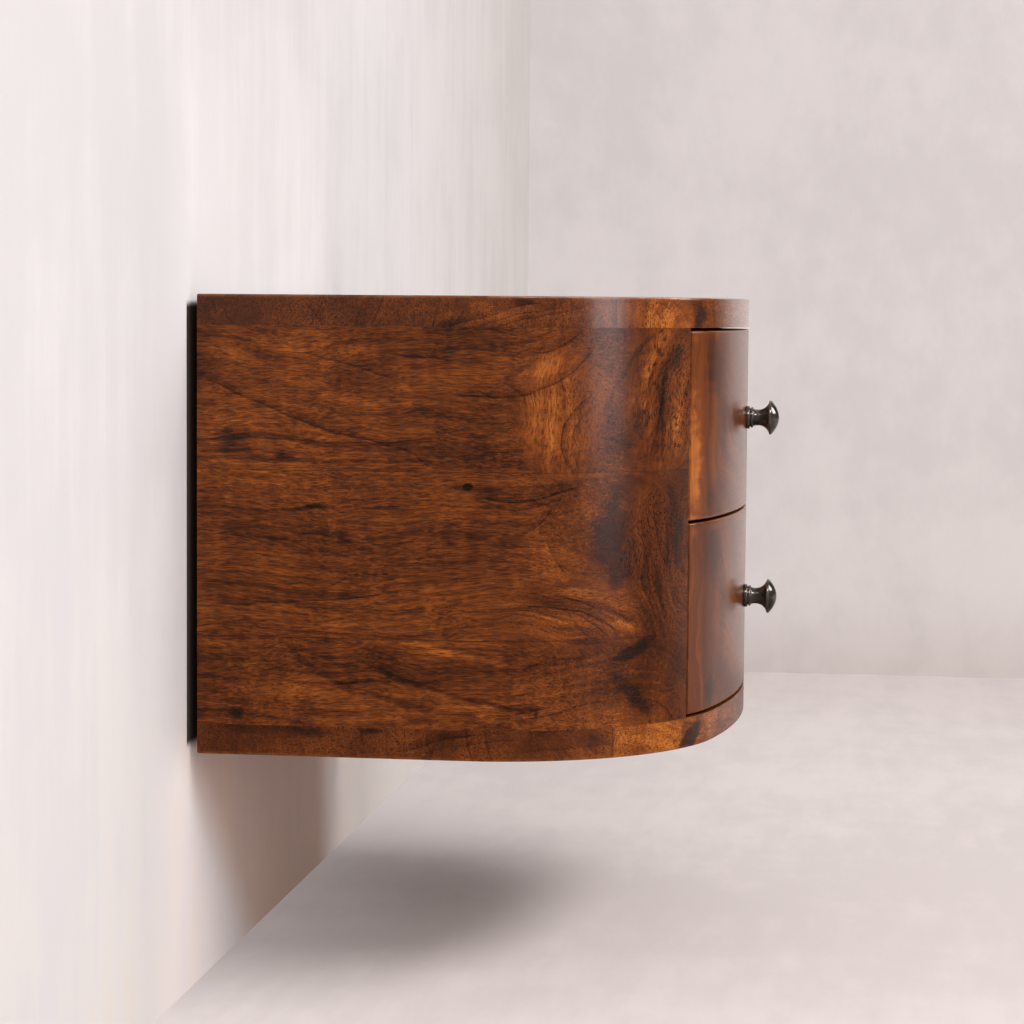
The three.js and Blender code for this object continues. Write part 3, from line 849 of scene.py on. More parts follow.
@dataclass(frozen=True)
class Wood:
    """One piece's wood: its tones, its planks and its own marks and lines."""

    name: str
    tones: WoodTones
    planks: Planks
    marks: tuple[Mark, ...] = ()
    lines: tuple[Line, ...] = ()
    curls: tuple[Curl, ...] = ()
    plan: MarkPlan = MarkPlan.SIDE
    ring_width: float = 0.0055
    swirl: float = 0.02
    contrast: float = 1.0
    pores: float = 0.5
    level: float = 0.47

    def material(self, effects: Effects) -> bpy.types.Material:
        """Builds the wood.

        Args:
            effects: The shared shader groups.

        Returns:
            The material.
        """
        material, tree, shader = bare_material(self.name)
        seed = self.planks.seed
        where = tree.add("ShaderNodeTexCoord")
        place = where.outputs["Object"]
        inputs = {"Vector": place, "Rotation": self.planks.turn}
        turned = tree.add("ShaderNodeMapping", inputs).outputs[0]
        rows = effects.planks.place(
            tree,
            {
                "Across": tree.parts(turned)["Z"],
                "First Joint": self.planks.first_joint,
                "Plank Width": self.planks.width,
                "Seed": seed,
            },
        )
        heart = self.heart(tree, rows)
        shifted = tree.vector("ADD", turned, tree.scaled(rows.outputs["Own Shift"], (0.0, 3.0, 0.0)))
        inputs = {"Point": shifted, "Amount": self.swirl, "Seed": seed}
        bent = effects.swirl.place(tree, inputs).outputs[0]
        rings = effects.rings.place(tree, {"Point": bent, "Heart": heart, "Ring Width": self.ring_width})
        grain = effects.fibres.place(tree, {"Point": bent, "Seed": seed})
        end = self.end_grain(tree, where.outputs["Normal"])
        factor = self.factor(tree, bent, rows, rings, grain, end)
        plan = self.flat_plan(tree, effects, place)
        outer = self.outer_face(tree, where)
        factor, pores = self.curled(tree, effects, plan, outer, factor, grain.outputs["Pores"])
        shift, grey = self.marked(tree, effects, plan)
        shift = tree.product(shift, outer)
        colour = tree.ramp(tree.math("ADD", factor, shift, clamp=True), self.tones.ramp)
        colour = tree.blend(tree.product(grey, outer), colour, self.tones.heart)
        pores = tree.product(pores, tree.math("MULTIPLY_ADD", end, 0.3, self.pores))
        colour = tree.blend(pores, colour, self.tones.pore)
        colour = tree.blend(tree.product(rows.outputs["Joint"], JOINT_SHADE), colour, self.tones.pore)
        worn = effects.rubbed.place(tree, {"Point": place, "Amount": EDGE_WEAR, "Seed": seed})
        colour = tree.blend(worn.outputs["Mask"], colour, self.tones.rubbed)
        tree.feed(shader.inputs["Base Color"], colour)
        self.gloss(tree, shader, grain, worn)
        return material

    def heart(self, tree: Tree, rows: bpy.types.Node) -> Socket:
        """Finds the middle of the trunk that each plank was cut from.

        Args:
            tree: The wood's tree.
            rows: The node of the plank rows.

        Returns:
            The socket with the heart's place.
        """
        hearts = self.planks.hearts
        chosen: Feed = hearts[0]
        for place, heart in enumerate(hearts[1:], start=1):
            is_past = tree.math("GREATER_THAN", rows.outputs["Number"], place - 0.5)
            node = tree.add("ShaderNodeMix", data_type="VECTOR")
            for socket, value in ((0, is_past), (4, chosen), (5, heart)):
                tree.feed(node.inputs[socket], value)
            chosen = node.outputs[1]
        shift = tree.vector("SUBTRACT", rows.outputs["Own Shift"], (0.5, 0.5, 0.5))
        spread = self.planks.spread
        return tree.vector("ADD", chosen, tree.scaled(shift, (spread, 0.0, spread)))

    def end_grain(self, tree: Tree, normal: Socket) -> Socket:
        """Finds faces that cut the fibres across.

        Args:
            tree: The wood's tree.
            normal: The surface's normal, in the piece's own axes.

        Returns:
            The socket with 1 on pure end grain.
        """
        inputs = {"Vector": normal, "Rotation": self.planks.turn}
        turned = tree.add("ShaderNodeMapping", inputs, vector_type="NORMAL").outputs[0]
        return tree.span(tree.math("ABSOLUTE", tree.parts(turned)["Y"]), 0.25, 1.0)

    def factor(
        self,
        tree: Tree,
        point: Socket,
        rows: bpy.types.Node,
        rings: bpy.types.Node,
        grain: bpy.types.Node,
        end: Socket,
    ) -> Socket:
        """Adds rings, fibres and slow changes of tone into one place on the ramp.

        Args:
            tree: The wood's tree.
            point: Where the wood is read.
            rows: The node of the plank rows.
            rings: The node of the growth rings.
            grain: The node of the fibres.
            end: How far a face cuts the fibres.

        Returns:
            The socket with the place on the ramp.
        """
        slow = tree.noise(tree.scaled(point, (24, 4.5, 24)), 4.0, 0.58, self.planks.seed + 11.0)
        gate = tree.span(slow, 0.42, 0.62)
        fibre_share = tree.math("MULTIPLY_ADD", end, -0.14, 0.4)
        ring_share = tree.math("MULTIPLY_ADD", tree.span(end, 0.75, 1.0), -0.24, 0.32)
        parts = (
            (tree.centred(grain.outputs["Tone"]), fibre_share),
            (tree.centred(rings.outputs["Tone"]), ring_share),
            (tree.centred(slow), 1.0),
            (tree.centred(grain.outputs["Curl"]), 0.1),
            (tree.centred(rows.outputs["Own Tone"]), 0.1),
            (tree.product(rings.outputs["Late Wood"], gate), -0.2),
            (end, -0.12),
        )
        total: Feed = 0.0
        for value, share in parts:
            total = tree.math("MULTIPLY_ADD", value, share, total)
        return tree.math("MULTIPLY_ADD", total, self.contrast, self.level)

    def flat_plan(self, tree: Tree, effects: Effects, place: Socket) -> Socket:
        """Finds where the piece's marks are drawn.

        Args:
            tree: The wood's tree.
            effects: The shared shader groups.
            place: The piece's own coordinates.

        Returns:
            The socket with the place on the flat plan, in millimetres.
        """
        if self.plan is MarkPlan.SIDE:
            return effects.unrolled.place(tree, {"Point": place}).outputs[0]
        parts = tree.parts(place)
        return tree.scaled(tree.joined(parts["X"], parts["Z"]), (1 / MM, 1 / MM, 0))

    def outer_face(self, tree: Tree, where: bpy.types.Node) -> Socket:
        """Finds the upright faces that the marks and curls belong to.

        Args:
            tree: The wood's tree.
            where: The node with the piece's own coordinates and normal.

        Returns:
            The socket with 1 on those faces.
        """
        upwards = tree.parts(where.outputs["Normal"])["Z"]
        upright = tree.span(tree.math("ABSOLUTE", upwards), 0.85, 0.5)
        if self.plan is MarkPlan.FRONT:
            return upright
        across = tree.parts(where.outputs["Object"])["X"]
        return tree.product(upright, tree.span(across, 4 * MM, -4 * MM))

    def curled(
        self, tree: Tree, effects: Effects, plan: Socket, outer: Socket, factor: Socket, pores: Socket
    ) -> tuple[Socket, Socket]:
        """Turns the grain into curls inside each curl's region.

        Args:
            tree: The wood's tree.
            effects: The shared shader groups.
            plan: The place on the flat plan.
            outer: The faces that the curls belong to.
            factor: The place on the ramp so far.
            pores: The pores' mask so far.

        Returns:
            The sockets with the new place on the ramp and the new mask of the pores.
        """
        for curl in self.curls:
            inputs = {"Plan": plan, "Share": outer, "Factor": factor, "Pores": pores, **curl.inputs()}
            factor, pores = effects.curl.place(tree, inputs).outputs
        return factor, pores

    def marked(self, tree: Tree, effects: Effects, plan: Socket) -> tuple[Feed, Feed]:
        """Adds up the piece's own marks and lines.

        Args:
            tree: The wood's tree.
            effects: The shared shader groups.
            plan: The place on the flat plan.

        Returns:
            The sockets with the change of tone and with the amount of the heart's colour.
        """
        ragged = tree.noise(tree.scaled(plan, (0.07, 0.13, 0)), 4.0, 0.6, self.planks.seed)
        ragged = tree.product(tree.centred(ragged), 2.2)
        wobble = tree.noise(tree.scaled(plan, (0.04, 0.04, 0)), 3.0, 0.45, self.planks.seed + 5.0)
        wobble = tree.product(tree.centred(wobble), 7.0)
        shift: Feed = 0.0
        grey: Feed = 0.0
        for mark in self.marks:
            inputs = {"Plan": plan, "Ragged": ragged, "Total Tone": shift, "Total Grey": grey}
            shift, grey = effects.mark.place(tree, {**inputs, **mark.inputs()}).outputs
        for line in self.lines:
            inputs = {"Plan": plan, "Wobble": wobble, "Total Tone": shift, **line.inputs()}
            shift = effects.line.place(tree, inputs).outputs[0]
        return shift, grey

    def gloss(
        self,
        tree: Tree,
        shader: bpy.types.Node,
        grain: bpy.types.Node,
        worn: bpy.types.Node,
    ) -> None:
        """Sets the lacquer's gloss and the relief of the grain.

        Args:
            tree: The wood's tree.
            shader: The surface shader.
            grain: The node of the fibres.
            worn: The node of the rubbed edges.
        """
        uneven = self.tones.relief / 2
        rough = tree.math("MULTIPLY_ADD", grain.outputs["Pores"], uneven, self.tones.roughness)
        rough = tree.math("MULTIPLY_ADD", grain.outputs["Tone"], -uneven, rough)
        rough = tree.math("MULTIPLY_ADD", worn.outputs["Mask"], 0.1, rough)
        tree.feed(shader.inputs["Roughness"], rough)
        shader.inputs["Coat Weight"].default_value = self.tones.lacquer
        shader.inputs["Coat Roughness"].default_value = COAT_ROUGHNESS
        shader.inputs["Specular IOR Level"].default_value = SPECULAR
        height = tree.math("MULTIPLY_ADD", grain.outputs["Pores"], -0.8, grain.outputs["Tone"])
        tree.relief(shader, height, self.tones.relief, GRAIN_DEPTH)


@dataclass(frozen=True)
class Metal:
    """A metal with faint brushing or casting unevenness and edges rubbed bright."""

    name: str
    colour: Colour
    shade: Colour
    rubbed: Colour
    roughness: float
    stretch: tuple[float, float, float]
    relief: float
    wear: float
    metallic: float = 1.0

    def material(self, effects: Effects) -> bpy.types.Material:
        """Builds the metal.

        Args:
            effects: The shared shader groups.

        Returns:
            The material.
        """
        material, tree, shader = bare_material(self.name)
        where = tree.add("ShaderNodeTexCoord").outputs["Object"]
        uneven = tree.noise(tree.scaled(where, self.stretch), 3.0, 0.6, 2.0)
        blotches = tree.noise(tree.scaled(where, (160, 160, 160)), 3.0, 0.6, 5.0)
        colour = tree.blend(tree.span(blotches, 0.3, 0.7), self.shade, self.colour)
        worn = effects.rubbed.place(tree, {"Point": where, "Amount": self.wear, "Seed": 4.0})
        tree.feed(shader.inputs["Base Color"], tree.blend(worn.outputs["Mask"], colour, self.rubbed))
        shader.inputs["Metallic"].default_value = self.metallic
        spread = 0.16
        rough = tree.math("MULTIPLY_ADD", uneven, spread, self.roughness - spread / 2)
        tree.feed(shader.inputs["Roughness"], rough)
        tree.relief(shader, uneven, self.relief, GRIT_DEPTH)
        return material


@dataclass(frozen=True)
class Rubber:
    """Moulded rubber with a fine bloom."""

    name: str = "Bumper rubber"
    colour: Colour = (0.018, 0.018, 0.019)
    bloom: Colour = (0.055, 0.054, 0.053)
    roughness: float = 0.62

    def material(self) -> bpy.types.Material:
        """Builds the rubber and returns its material."""
        material, tree, shader = bare_material(self.name)
        where = tree.add("ShaderNodeTexCoord").outputs["Object"]
        grit = tree.noise(tree.scaled(where, (2400, 2400, 2400)), 2.0, 0.6, 1.0)
        haze = tree.noise(tree.scaled(where, (120, 120, 120)), 3.0, 0.6, 2.0)
        colour = tree.blend(tree.span(haze, 0.4, 0.8), self.colour, self.bloom)
        tree.feed(shader.inputs["Base Color"], colour)
        tree.feed(shader.inputs["Roughness"], tree.math("MULTIPLY_ADD", grit, 0.2, self.roughness))
        tree.relief(shader, grit, 0.3, GRIT_DEPTH)
        return material


def bare_material(name: str) -> tuple[bpy.types.Material, Tree, bpy.types.Node]:
    """Starts a material with only its surface shader.

    Args:
        name: The material's name.

    Returns:
        The material, its tree and its surface shader.
    """
    material = bpy.data.materials.new(name)
    tree = emptied(material)
    shader = tree.add("ShaderNodeBsdfPrincipled")
    tree.add("ShaderNodeOutputMaterial", {"Surface": shader.outputs[0]})
    return material, tree, shader


# Meshes


@dataclass(frozen=True)
class Ring:
    """One level of a raised outline: how far it is drawn in, its height and how rubbed it is."""

    inset: float
    height: float
    wear: float = 0.0


def drawn_in(outline: Sequence[Vector], inset: float) -> list[Vector]:
    """Moves every side of an outline inwards by the same distance.

    Args:
        outline: Points, anticlockwise seen from above.
        inset: The distance.

    Returns:
        The moved points.
    """
    moved = []
    count = len(outline)
    for i, here in enumerate(outline):
        towards = (here - outline[i - 1]).normalized()
        onwards = (outline[(i + 1) % count] - here).normalized()
        normals = [Vector((-side.y, side.x)) for side in (towards, onwards)]
        mitre = (normals[0] + normals[1]) / (1 + normals[0].dot(normals[1]))
        moved.append(here + mitre * inset)
    return moved


def raised(name: str, outline: Sequence[Vector], rings: Sequence[Ring]) -> bpy.types.Object:
    """Raises an outline through its rings into a closed solid.

    Args:
        name: The piece's name.
        outline: Points, anticlockwise seen from above.
        rings: Its levels, from the lowest.

    Returns:
        The piece.
    """
    shape = bmesh.new()
    wear = shape.verts.layers.float.new("wear")
    levels = []
    for ring in rings:
        level = [shape.verts.new((p.x, p.y, ring.height)) for p in drawn_in(outline, ring.inset)]
        for vert in level:
            vert[wear] = ring.wear
        levels.append(level)
    count = len(outline)
    for lower, upper in zip(levels, levels[1:]):
        for i in range(count):
            j = (i + 1) % count
            shape.faces.new((lower[i], lower[j], upper[j], upper[i]))
    caps = [shape.faces.new(levels[0][::-1]), shape.faces.new(levels[-1])]
    bmesh.ops.triangulate(shape, faces=caps)
    return as_object(name, shape)


def as_object(name: str, shape: bmesh.types.BMesh) -> bpy.types.Object:
    """Makes an object of a shape, and frees the shape.

    Args:
        name: The piece's name.
        shape: Its mesh.

    Returns:
        The piece, linked into the scene.
    """
    mesh = bpy.data.meshes.new(name)
    shape.to_mesh(mesh)
    shape.free()
    piece = bpy.data.objects.new(name, mesh)
    bpy.context.scene.collection.objects.link(piece)
    return piece


def eased_rings(low: float, high: float, ease_low: float, ease_high: float) -> list[Ring]:
    """Levels of a board with rounded edges.

    Args:
        low: The lower face's height.
        high: The upper face's height.
        ease_low: Radius of the lower edge, or 0 for a sharp one.
        ease_high: Radius of the upper edge, or 0 for a sharp one.

    Returns:
        The rings, from the lowest.
    """
    band = 1.4 * MM  # over which the wear fades out
    steps = ((0, 0.55), (30, 1.0), (60, 1.0), (90, 0.55))  # degrees round the edge, and wear
    rings = []
    for ease, height, sense in ((ease_low, low, 1), (ease_high, high, -1)):
        if ease:
            edge = [Ring(ease + band, height)]
            for degrees, wear in steps:
                angle = math.radians(degrees)
                level = height + sense * ease * (1 - math.cos(angle))
                edge.append(Ring(ease * (1 - math.sin(angle)), level, wear))
            edge.append(Ring(0.0, height + sense * (ease + band)))
        else:
            edge = [Ring(band, height), Ring(0.0, height)]
        rings += edge if sense > 0 else edge[::-1]
    return rings


def baked(piece: bpy.types.Object) -> bpy.types.Object:
    """Turns a piece's modifiers into a plain mesh.

    Args:
        piece: The piece.

    Returns:
        The same piece.
    """
    bpy.context.view_layer.update()
    graph = bpy.context.evaluated_depsgraph_get()
    mesh = bpy.data.meshes.new_from_object(piece.evaluated_get(graph))
    piece.modifiers.clear()
    piece.data = mesh
    return piece


def carved(piece: bpy.types.Object, cutters: Iterable[bpy.types.Object]) -> bpy.types.Object:
    """Takes every cutter out of a piece, and removes the cutters.

    Args:
        piece: The piece.
        cutters: Closed meshes.

    Returns:
        The same piece.
    """
    tools = list(cutters)
    for tool in tools:
        step = piece.modifiers.new("Carve", "BOOLEAN")
        step.operation = "DIFFERENCE"
        step.solver = "EXACT"
        step.object = tool
    baked(piece)
    for tool in tools:
        bpy.data.objects.remove(tool)
    return piece


def prism(name: str, outline: Sequence[Vector], low: float, high: float) -> bpy.types.Object:
    """A sharp-edged solid over an outline in (Y, Z), from X = low to X = high.

    Args:
        name: The piece's name.
        outline: Points, anticlockwise seen from +X.
        low: Its lowest X.
        high: Its highest X.

    Returns:
        The piece.
    """
    shape = bmesh.new()
    ends = [[shape.verts.new((x, p.x, p.y)) for p in outline] for x in (low, high)]
    count = len(outline)
    for i in range(count):
        j = (i + 1) % count
        shape.faces.new((ends[0][i], ends[0][j], ends[1][j], ends[1][i]))
    shape.faces.new(ends[0][::-1])
    shape.faces.new(ends[1])
    bmesh.ops.recalc_face_normals(shape, faces=shape.faces)
    return as_object(name, shape)


def shade(mesh: bpy.types.Mesh) -> None:
    """Shades a mesh smooth, apart from its sharp edges."""
    mesh.shade_smooth()
    mesh.set_sharp_from_angle(angle=SHARP_ANGLE)


def softened(node: str, ease: float) -> bpy.types.Object:
    """Copies a CAD node's mesh, rounds its edges a little and keeps its faces flat.

    Args:
        node: The CAD node.
        ease: Radius of the rounding.

    Returns:
        The new piece.
    """
    shape = bmesh.new()
    shape.from_mesh(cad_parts[node].data)
    bmesh.ops.remove_doubles(shape, verts=shape.verts, dist=WELD)
    bmesh.ops.dissolve_limit(shape, angle_limit=FLAT_ANGLE, verts=shape.verts, edges=shape.edges)
    wear = shape.verts.layers.float.new("wear")
    for vert in shape.verts:
        vert[wear] = EDGE_WEAR
    piece = as_object(node + "_eased", shape)
    step = piece.modifiers.new("Ease", "BEVEL")
    step.width = ease
    step.segments = 2
    step.limit_method = "ANGLE"
    step.angle_limit = BEVEL_ANGLE
    baked(piece)
    shade(piece.data)
    flatter = piece.modifiers.new("Flat", "WEIGHTED_NORMAL")
    flatter.keep_sharp = True
    return baked(piece)


class Profile:
    """A turned piece's outline, drawn as (radius, height) points."""

    def __init__(self, radius: float, height: float) -> None:
        """Starts the outline.

        Args:
            radius: The first point's distance from the axis.
            height: Its height.
        """
        self.points = [Vector((radius, height))]

    def line(self, radius: float, height: float) -> "Profile":
        """Draws a straight line to a point and returns the profile."""
        self.points.append(Vector((radius, height)))
        return self

    def curve(self, pull: tuple[float, float], end: tuple[float, float], steps: int = 10) -> "Profile":
        """Draws a curve that leans towards a point.

        Args:
            pull: The point that it leans towards.
            end: Where it ends.
            steps: How many short lines it is made of.

        Returns:
            The profile.
        """
        start, middle, last = self.points[-1].copy(), Vector(pull), Vector(end)
        for i in range(1, steps + 1):
            t = i / steps
            self.points.append(start * (1 - t) ** 2 + middle * 2 * t * (1 - t) + last * t**2)
        return self

    def as_wire(self, name: str) -> bpy.types.Object:
        """Makes a chain of edges of the outline, in X and Z, and returns it."""
        shape = bmesh.new()
        verts = [shape.verts.new((p.x, 0.0, p.y)) for p in self.points]
        for first, second in zip(verts, verts[1:]):
            shape.edges.new((first, second))
        return as_object(name, shape)


# Geometry node trees


class Modeller:
    """A geometry node tree with named inputs, run once on a piece."""

    def __init__(self, name: str, inputs: Mapping[str, str]) -> None:
        """Starts an empty tree.

        Args:
            name: The tree's name.
            inputs: Each input's name and socket type.
        """
        self.group = bpy.data.node_groups.new(name, "GeometryNodeTree")
        geometry = "NodeSocketGeometry"
        new_socket(self.group, "Geometry", "INPUT", geometry)
        self.sockets = {
            label: new_socket(self.group, label, "INPUT", kind).identifier
            for label, kind in inputs.items()
        }
        new_socket(self.group, "Geometry", "OUTPUT", geometry)
        self.tree = Tree(self.group)
        self.given = self.tree.add("NodeGroupInput").outputs
        self.sink = self.tree.add("NodeGroupOutput")

    def close(self, geometry: Socket) -> None:
        """Ends the tree with whole instances and one material.

        Args:
            geometry: The geometry before that.
        """
        whole = self.tree.add("GeometryNodeRealizeInstances", {"Geometry": geometry})
        dressed = self.tree.add(
            "GeometryNodeSetMaterial",
            {"Geometry": whole.outputs[0], "Material": self.given["Material"]},
        )
        self.tree.feed(self.sink.inputs[0], dressed.outputs[0])

    def run(self, piece: bpy.types.Object, values: Mapping[str, object]) -> bpy.types.Object:
        """Runs the tree on a piece and keeps the result as its mesh.

        Args:
            piece: The piece.
            values: Each input's value.

        Returns:
            The same piece.
        """
        step = piece.modifiers.new(self.group.name, "NODES")
        step.node_group = self.group
        for label, value in values.items():
            step[self.sockets[label]] = value
        return baked(piece)


def lathe() -> Modeller:
    """Builds the tree that turns a wire profile about Z.

    Returns:
        The tree, with Sides, Steps and Material inputs.
    """
    made = Modeller(
        "Lathe",
        {"Sides": "NodeSocketInt", "Steps": "NodeSocketInt", "Material": "NodeSocketMaterial"},
    )
    tree, given = made.tree, made.given
    line = tree.add("GeometryNodeMeshToCurve", {"Mesh": given["Geometry"]})
    columns = tree.math("ADD", given["Sides"], 1.0)
    grid = tree.add("GeometryNodeMeshGrid", {"Vertices X": columns, "Vertices Y": given["Steps"]})
    place = tree.add("GeometryNodeInputIndex").outputs[0]
    past_edge = 0.25  # keeps whole numbers from being rounded down
    column = tree.math("DIVIDE", tree.math("ADD", place, past_edge), given["Steps"])
    column = tree.math("FLOOR", column)
    row = tree.math("SUBTRACT", place, tree.math("MULTIPLY", column, given["Steps"]))
    share = tree.math("DIVIDE", row, tree.math("SUBTRACT", given["Steps"], 1.0))
    inputs = {"Curves": line.outputs[0], "Factor": share}
    drawn = tree.add("GeometryNodeSampleCurve", inputs, mode="FACTOR")
    parts = tree.parts(drawn.outputs["Position"])
    angle = tree.math("MULTIPLY", tree.math("DIVIDE", column, given["Sides"]), math.tau)
    across = tree.product(parts["X"], tree.math("COSINE", angle))
    deep = tree.product(parts["X"], tree.math("SINE", angle))
    inputs = {"Geometry": grid.outputs["Mesh"], "Position": tree.joined(across, deep, parts["Z"])}
    turned = tree.add("GeometryNodeSetPosition", inputs).outputs[0]
    closed = tree.add("GeometryNodeMergeByDistance", {"Geometry": turned, "Distance": 2 * WELD})
    made.close(closed.outputs[0])
    return made


def fastener_rows() -> Modeller:
    """Builds the tree that sets one fastener on every point, along the point's own axis.

    Returns:
        The tree, with Fastener and Material inputs.
    """
    made = Modeller(
        "Fastener rows",
        {"Fastener": "NodeSocketObject", "Material": "NodeSocketMaterial"},
    )
    tree, given = made.tree, made.given
    axis = tree.add("GeometryNodeInputNamedAttribute", {"Name": "axis"}, data_type="FLOAT_VECTOR")
    turn = tree.add("FunctionNodeAlignRotationToVector", {"Vector": axis.outputs[0]}, axis="Z")
    inputs = {"Object": given["Fastener"]}
    source = tree.add("GeometryNodeObjectInfo", inputs, transform_space="ORIGINAL")
    points = tree.add("GeometryNodeMeshToPoints", {"Mesh": given["Geometry"]})
    placed = tree.add(
        "GeometryNodeInstanceOnPoints",
        {
            "Points": points.outputs[0],
            "Instance": source.outputs["Geometry"],
            "Rotation": turn.outputs[0],
        },
    )
    made.close(placed.outputs[0])
    return made


# The nightstand


@dataclass(frozen=True)
class CasePlan:
    """The plan that the boards, sides and drawer fronts share, seen from above."""

    half_width: float
    back: float
    front: float
    corner_radius: float = 156 * MM
    bow_radius: float = 585 * MM
    wall: float = 22 * MM
    rebate: float = 10 * MM
    back_thickness: float = 12 * MM
    opening: float = 167.5 * MM  # middle to the end of a curved side

    @property
    def corner_x(self) -> float:
        """Distance from the middle to a corner arc's centre."""
        return self.half_width - self.corner_radius

    @property
    def bow_y(self) -> float:
        """Y of the bow's centre."""
        return self.front + self.bow_radius

    @property
    def corner_y(self) -> float:
        """Y of the corner arcs' centres."""
        reach = self.bow_radius - self.corner_radius
        return self.bow_y - math.sqrt(reach**2 - self.corner_x**2)

    @property
    def turn(self) -> float:
        """Half the angle that the bow spans before the corners take over."""
        return math.asin(self.corner_x / (self.bow_radius - self.corner_radius))

    def front_edge(self, reach: float) -> list[Vector]:
        """The front edge from X = -reach to X = reach.

        Args:
            reach: Half the width that it spans, beyond the bow.

        Returns:
            Points from left to right.
        """
        start = math.asin((reach - self.corner_x) / self.corner_radius)
        hands = [Vector((x, self.corner_y)) for x in (-self.corner_x, self.corner_x)]
        left = arc(hands[0], self.corner_radius, DOWN - start, DOWN - self.turn)
        bow = arc(Vector((0, self.bow_y)), self.bow_radius, DOWN - self.turn, DOWN + self.turn)
        right = arc(hands[1], self.corner_radius, DOWN + self.turn, DOWN + start)
        return left + bow[1:] + right[1:]

    def board(self) -> list[Vector]:
        """The outline of the top and bottom boards."""
        depths = steps_between(self.back, self.corner_y, LONG_STEP)
        left = [Vector((-self.half_width, y)) for y in depths]
        right = [Vector((self.half_width, y)) for y in depths[::-1]]
        return left + self.front_edge(self.half_width)[1:-1] + right

    def side(self) -> list[Vector]:
        """The outline of the left side, with its rebate for the back panel."""
        inner_radius = self.corner_radius - self.wall
        centre = Vector((-self.corner_x, self.corner_y))
        outer_end = math.asin((self.opening - self.corner_x) / self.corner_radius)
        inner_end = math.asin((self.opening - self.corner_x) / inner_radius)
        outer = arc(centre, self.corner_radius, -math.pi, DOWN - outer_end)
        inner = arc(centre, inner_radius, DOWN - inner_end, -math.pi)
        inner_x = -self.half_width + self.wall
        shelf = self.back - self.back_thickness
        depths = steps_between(self.back, self.corner_y, LONG_STEP)
        straight = [Vector((-self.half_width, y)) for y in depths[:-1]]
        rebate = [(inner_x, shelf), (inner_x - self.rebate, shelf), (inner_x - self.rebate, self.back)]
        return straight + outer + inner + [Vector(p) for p in rebate]


def steps_between(start: float, end: float, longest: float) -> list[float]:
    """Evenly spaced values from start to end, both kept.

    Args:
        start: The first value.
        end: The last value.
        longest: The longest step.

    Returns:
        The values.
    """
    count = max(1, math.ceil(abs(end - start) / longest))
    return [start + (end - start) * i / count for i in range(count + 1)]


def arc(centre: Vector, radius: float, start: float, end: float) -> list[Vector]:
    """Points along an arc, from one angle to another.

    Args:
        centre: The arc's centre.
        radius: Its radius.
        start: The first angle, in radians.
        end: The last angle.

    Returns:
        The points.
    """
    angles = steps_between(start, end, FINE_STEP / radius)
    return [centre + radius * Vector((math.cos(a), math.sin(a))) for a in angles]


def mirrored(outline: Sequence[Vector]) -> list[Vector]:
    """Returns an outline turned over from left to right, still anticlockwise."""
    return [Vector((-p.x, p.y)) for p in outline][::-1]


def dress(
    piece: bpy.types.Object,
    material: bpy.types.Material,
    body: str,
    nodes: Sequence[str],
) -> bpy.types.Object:
    """Gives a piece its finish and its body, and hides the CAD nodes that it stands for.

    Args:
        piece: The piece.
        material: Its finish.
        body: The body that it moves with.
        nodes: The CAD nodes that it replaces.

    Returns:
        The same piece.
    """
    piece.data.materials.clear()
    piece.data.materials.append(material)
    if not piece.data.has_custom_normals:
        shade(piece.data)
    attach(piece, body)
    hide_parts(*nodes)
    log.info("%s: %d faces on %s", piece.name, len(piece.data.polygons), body)
    return piece


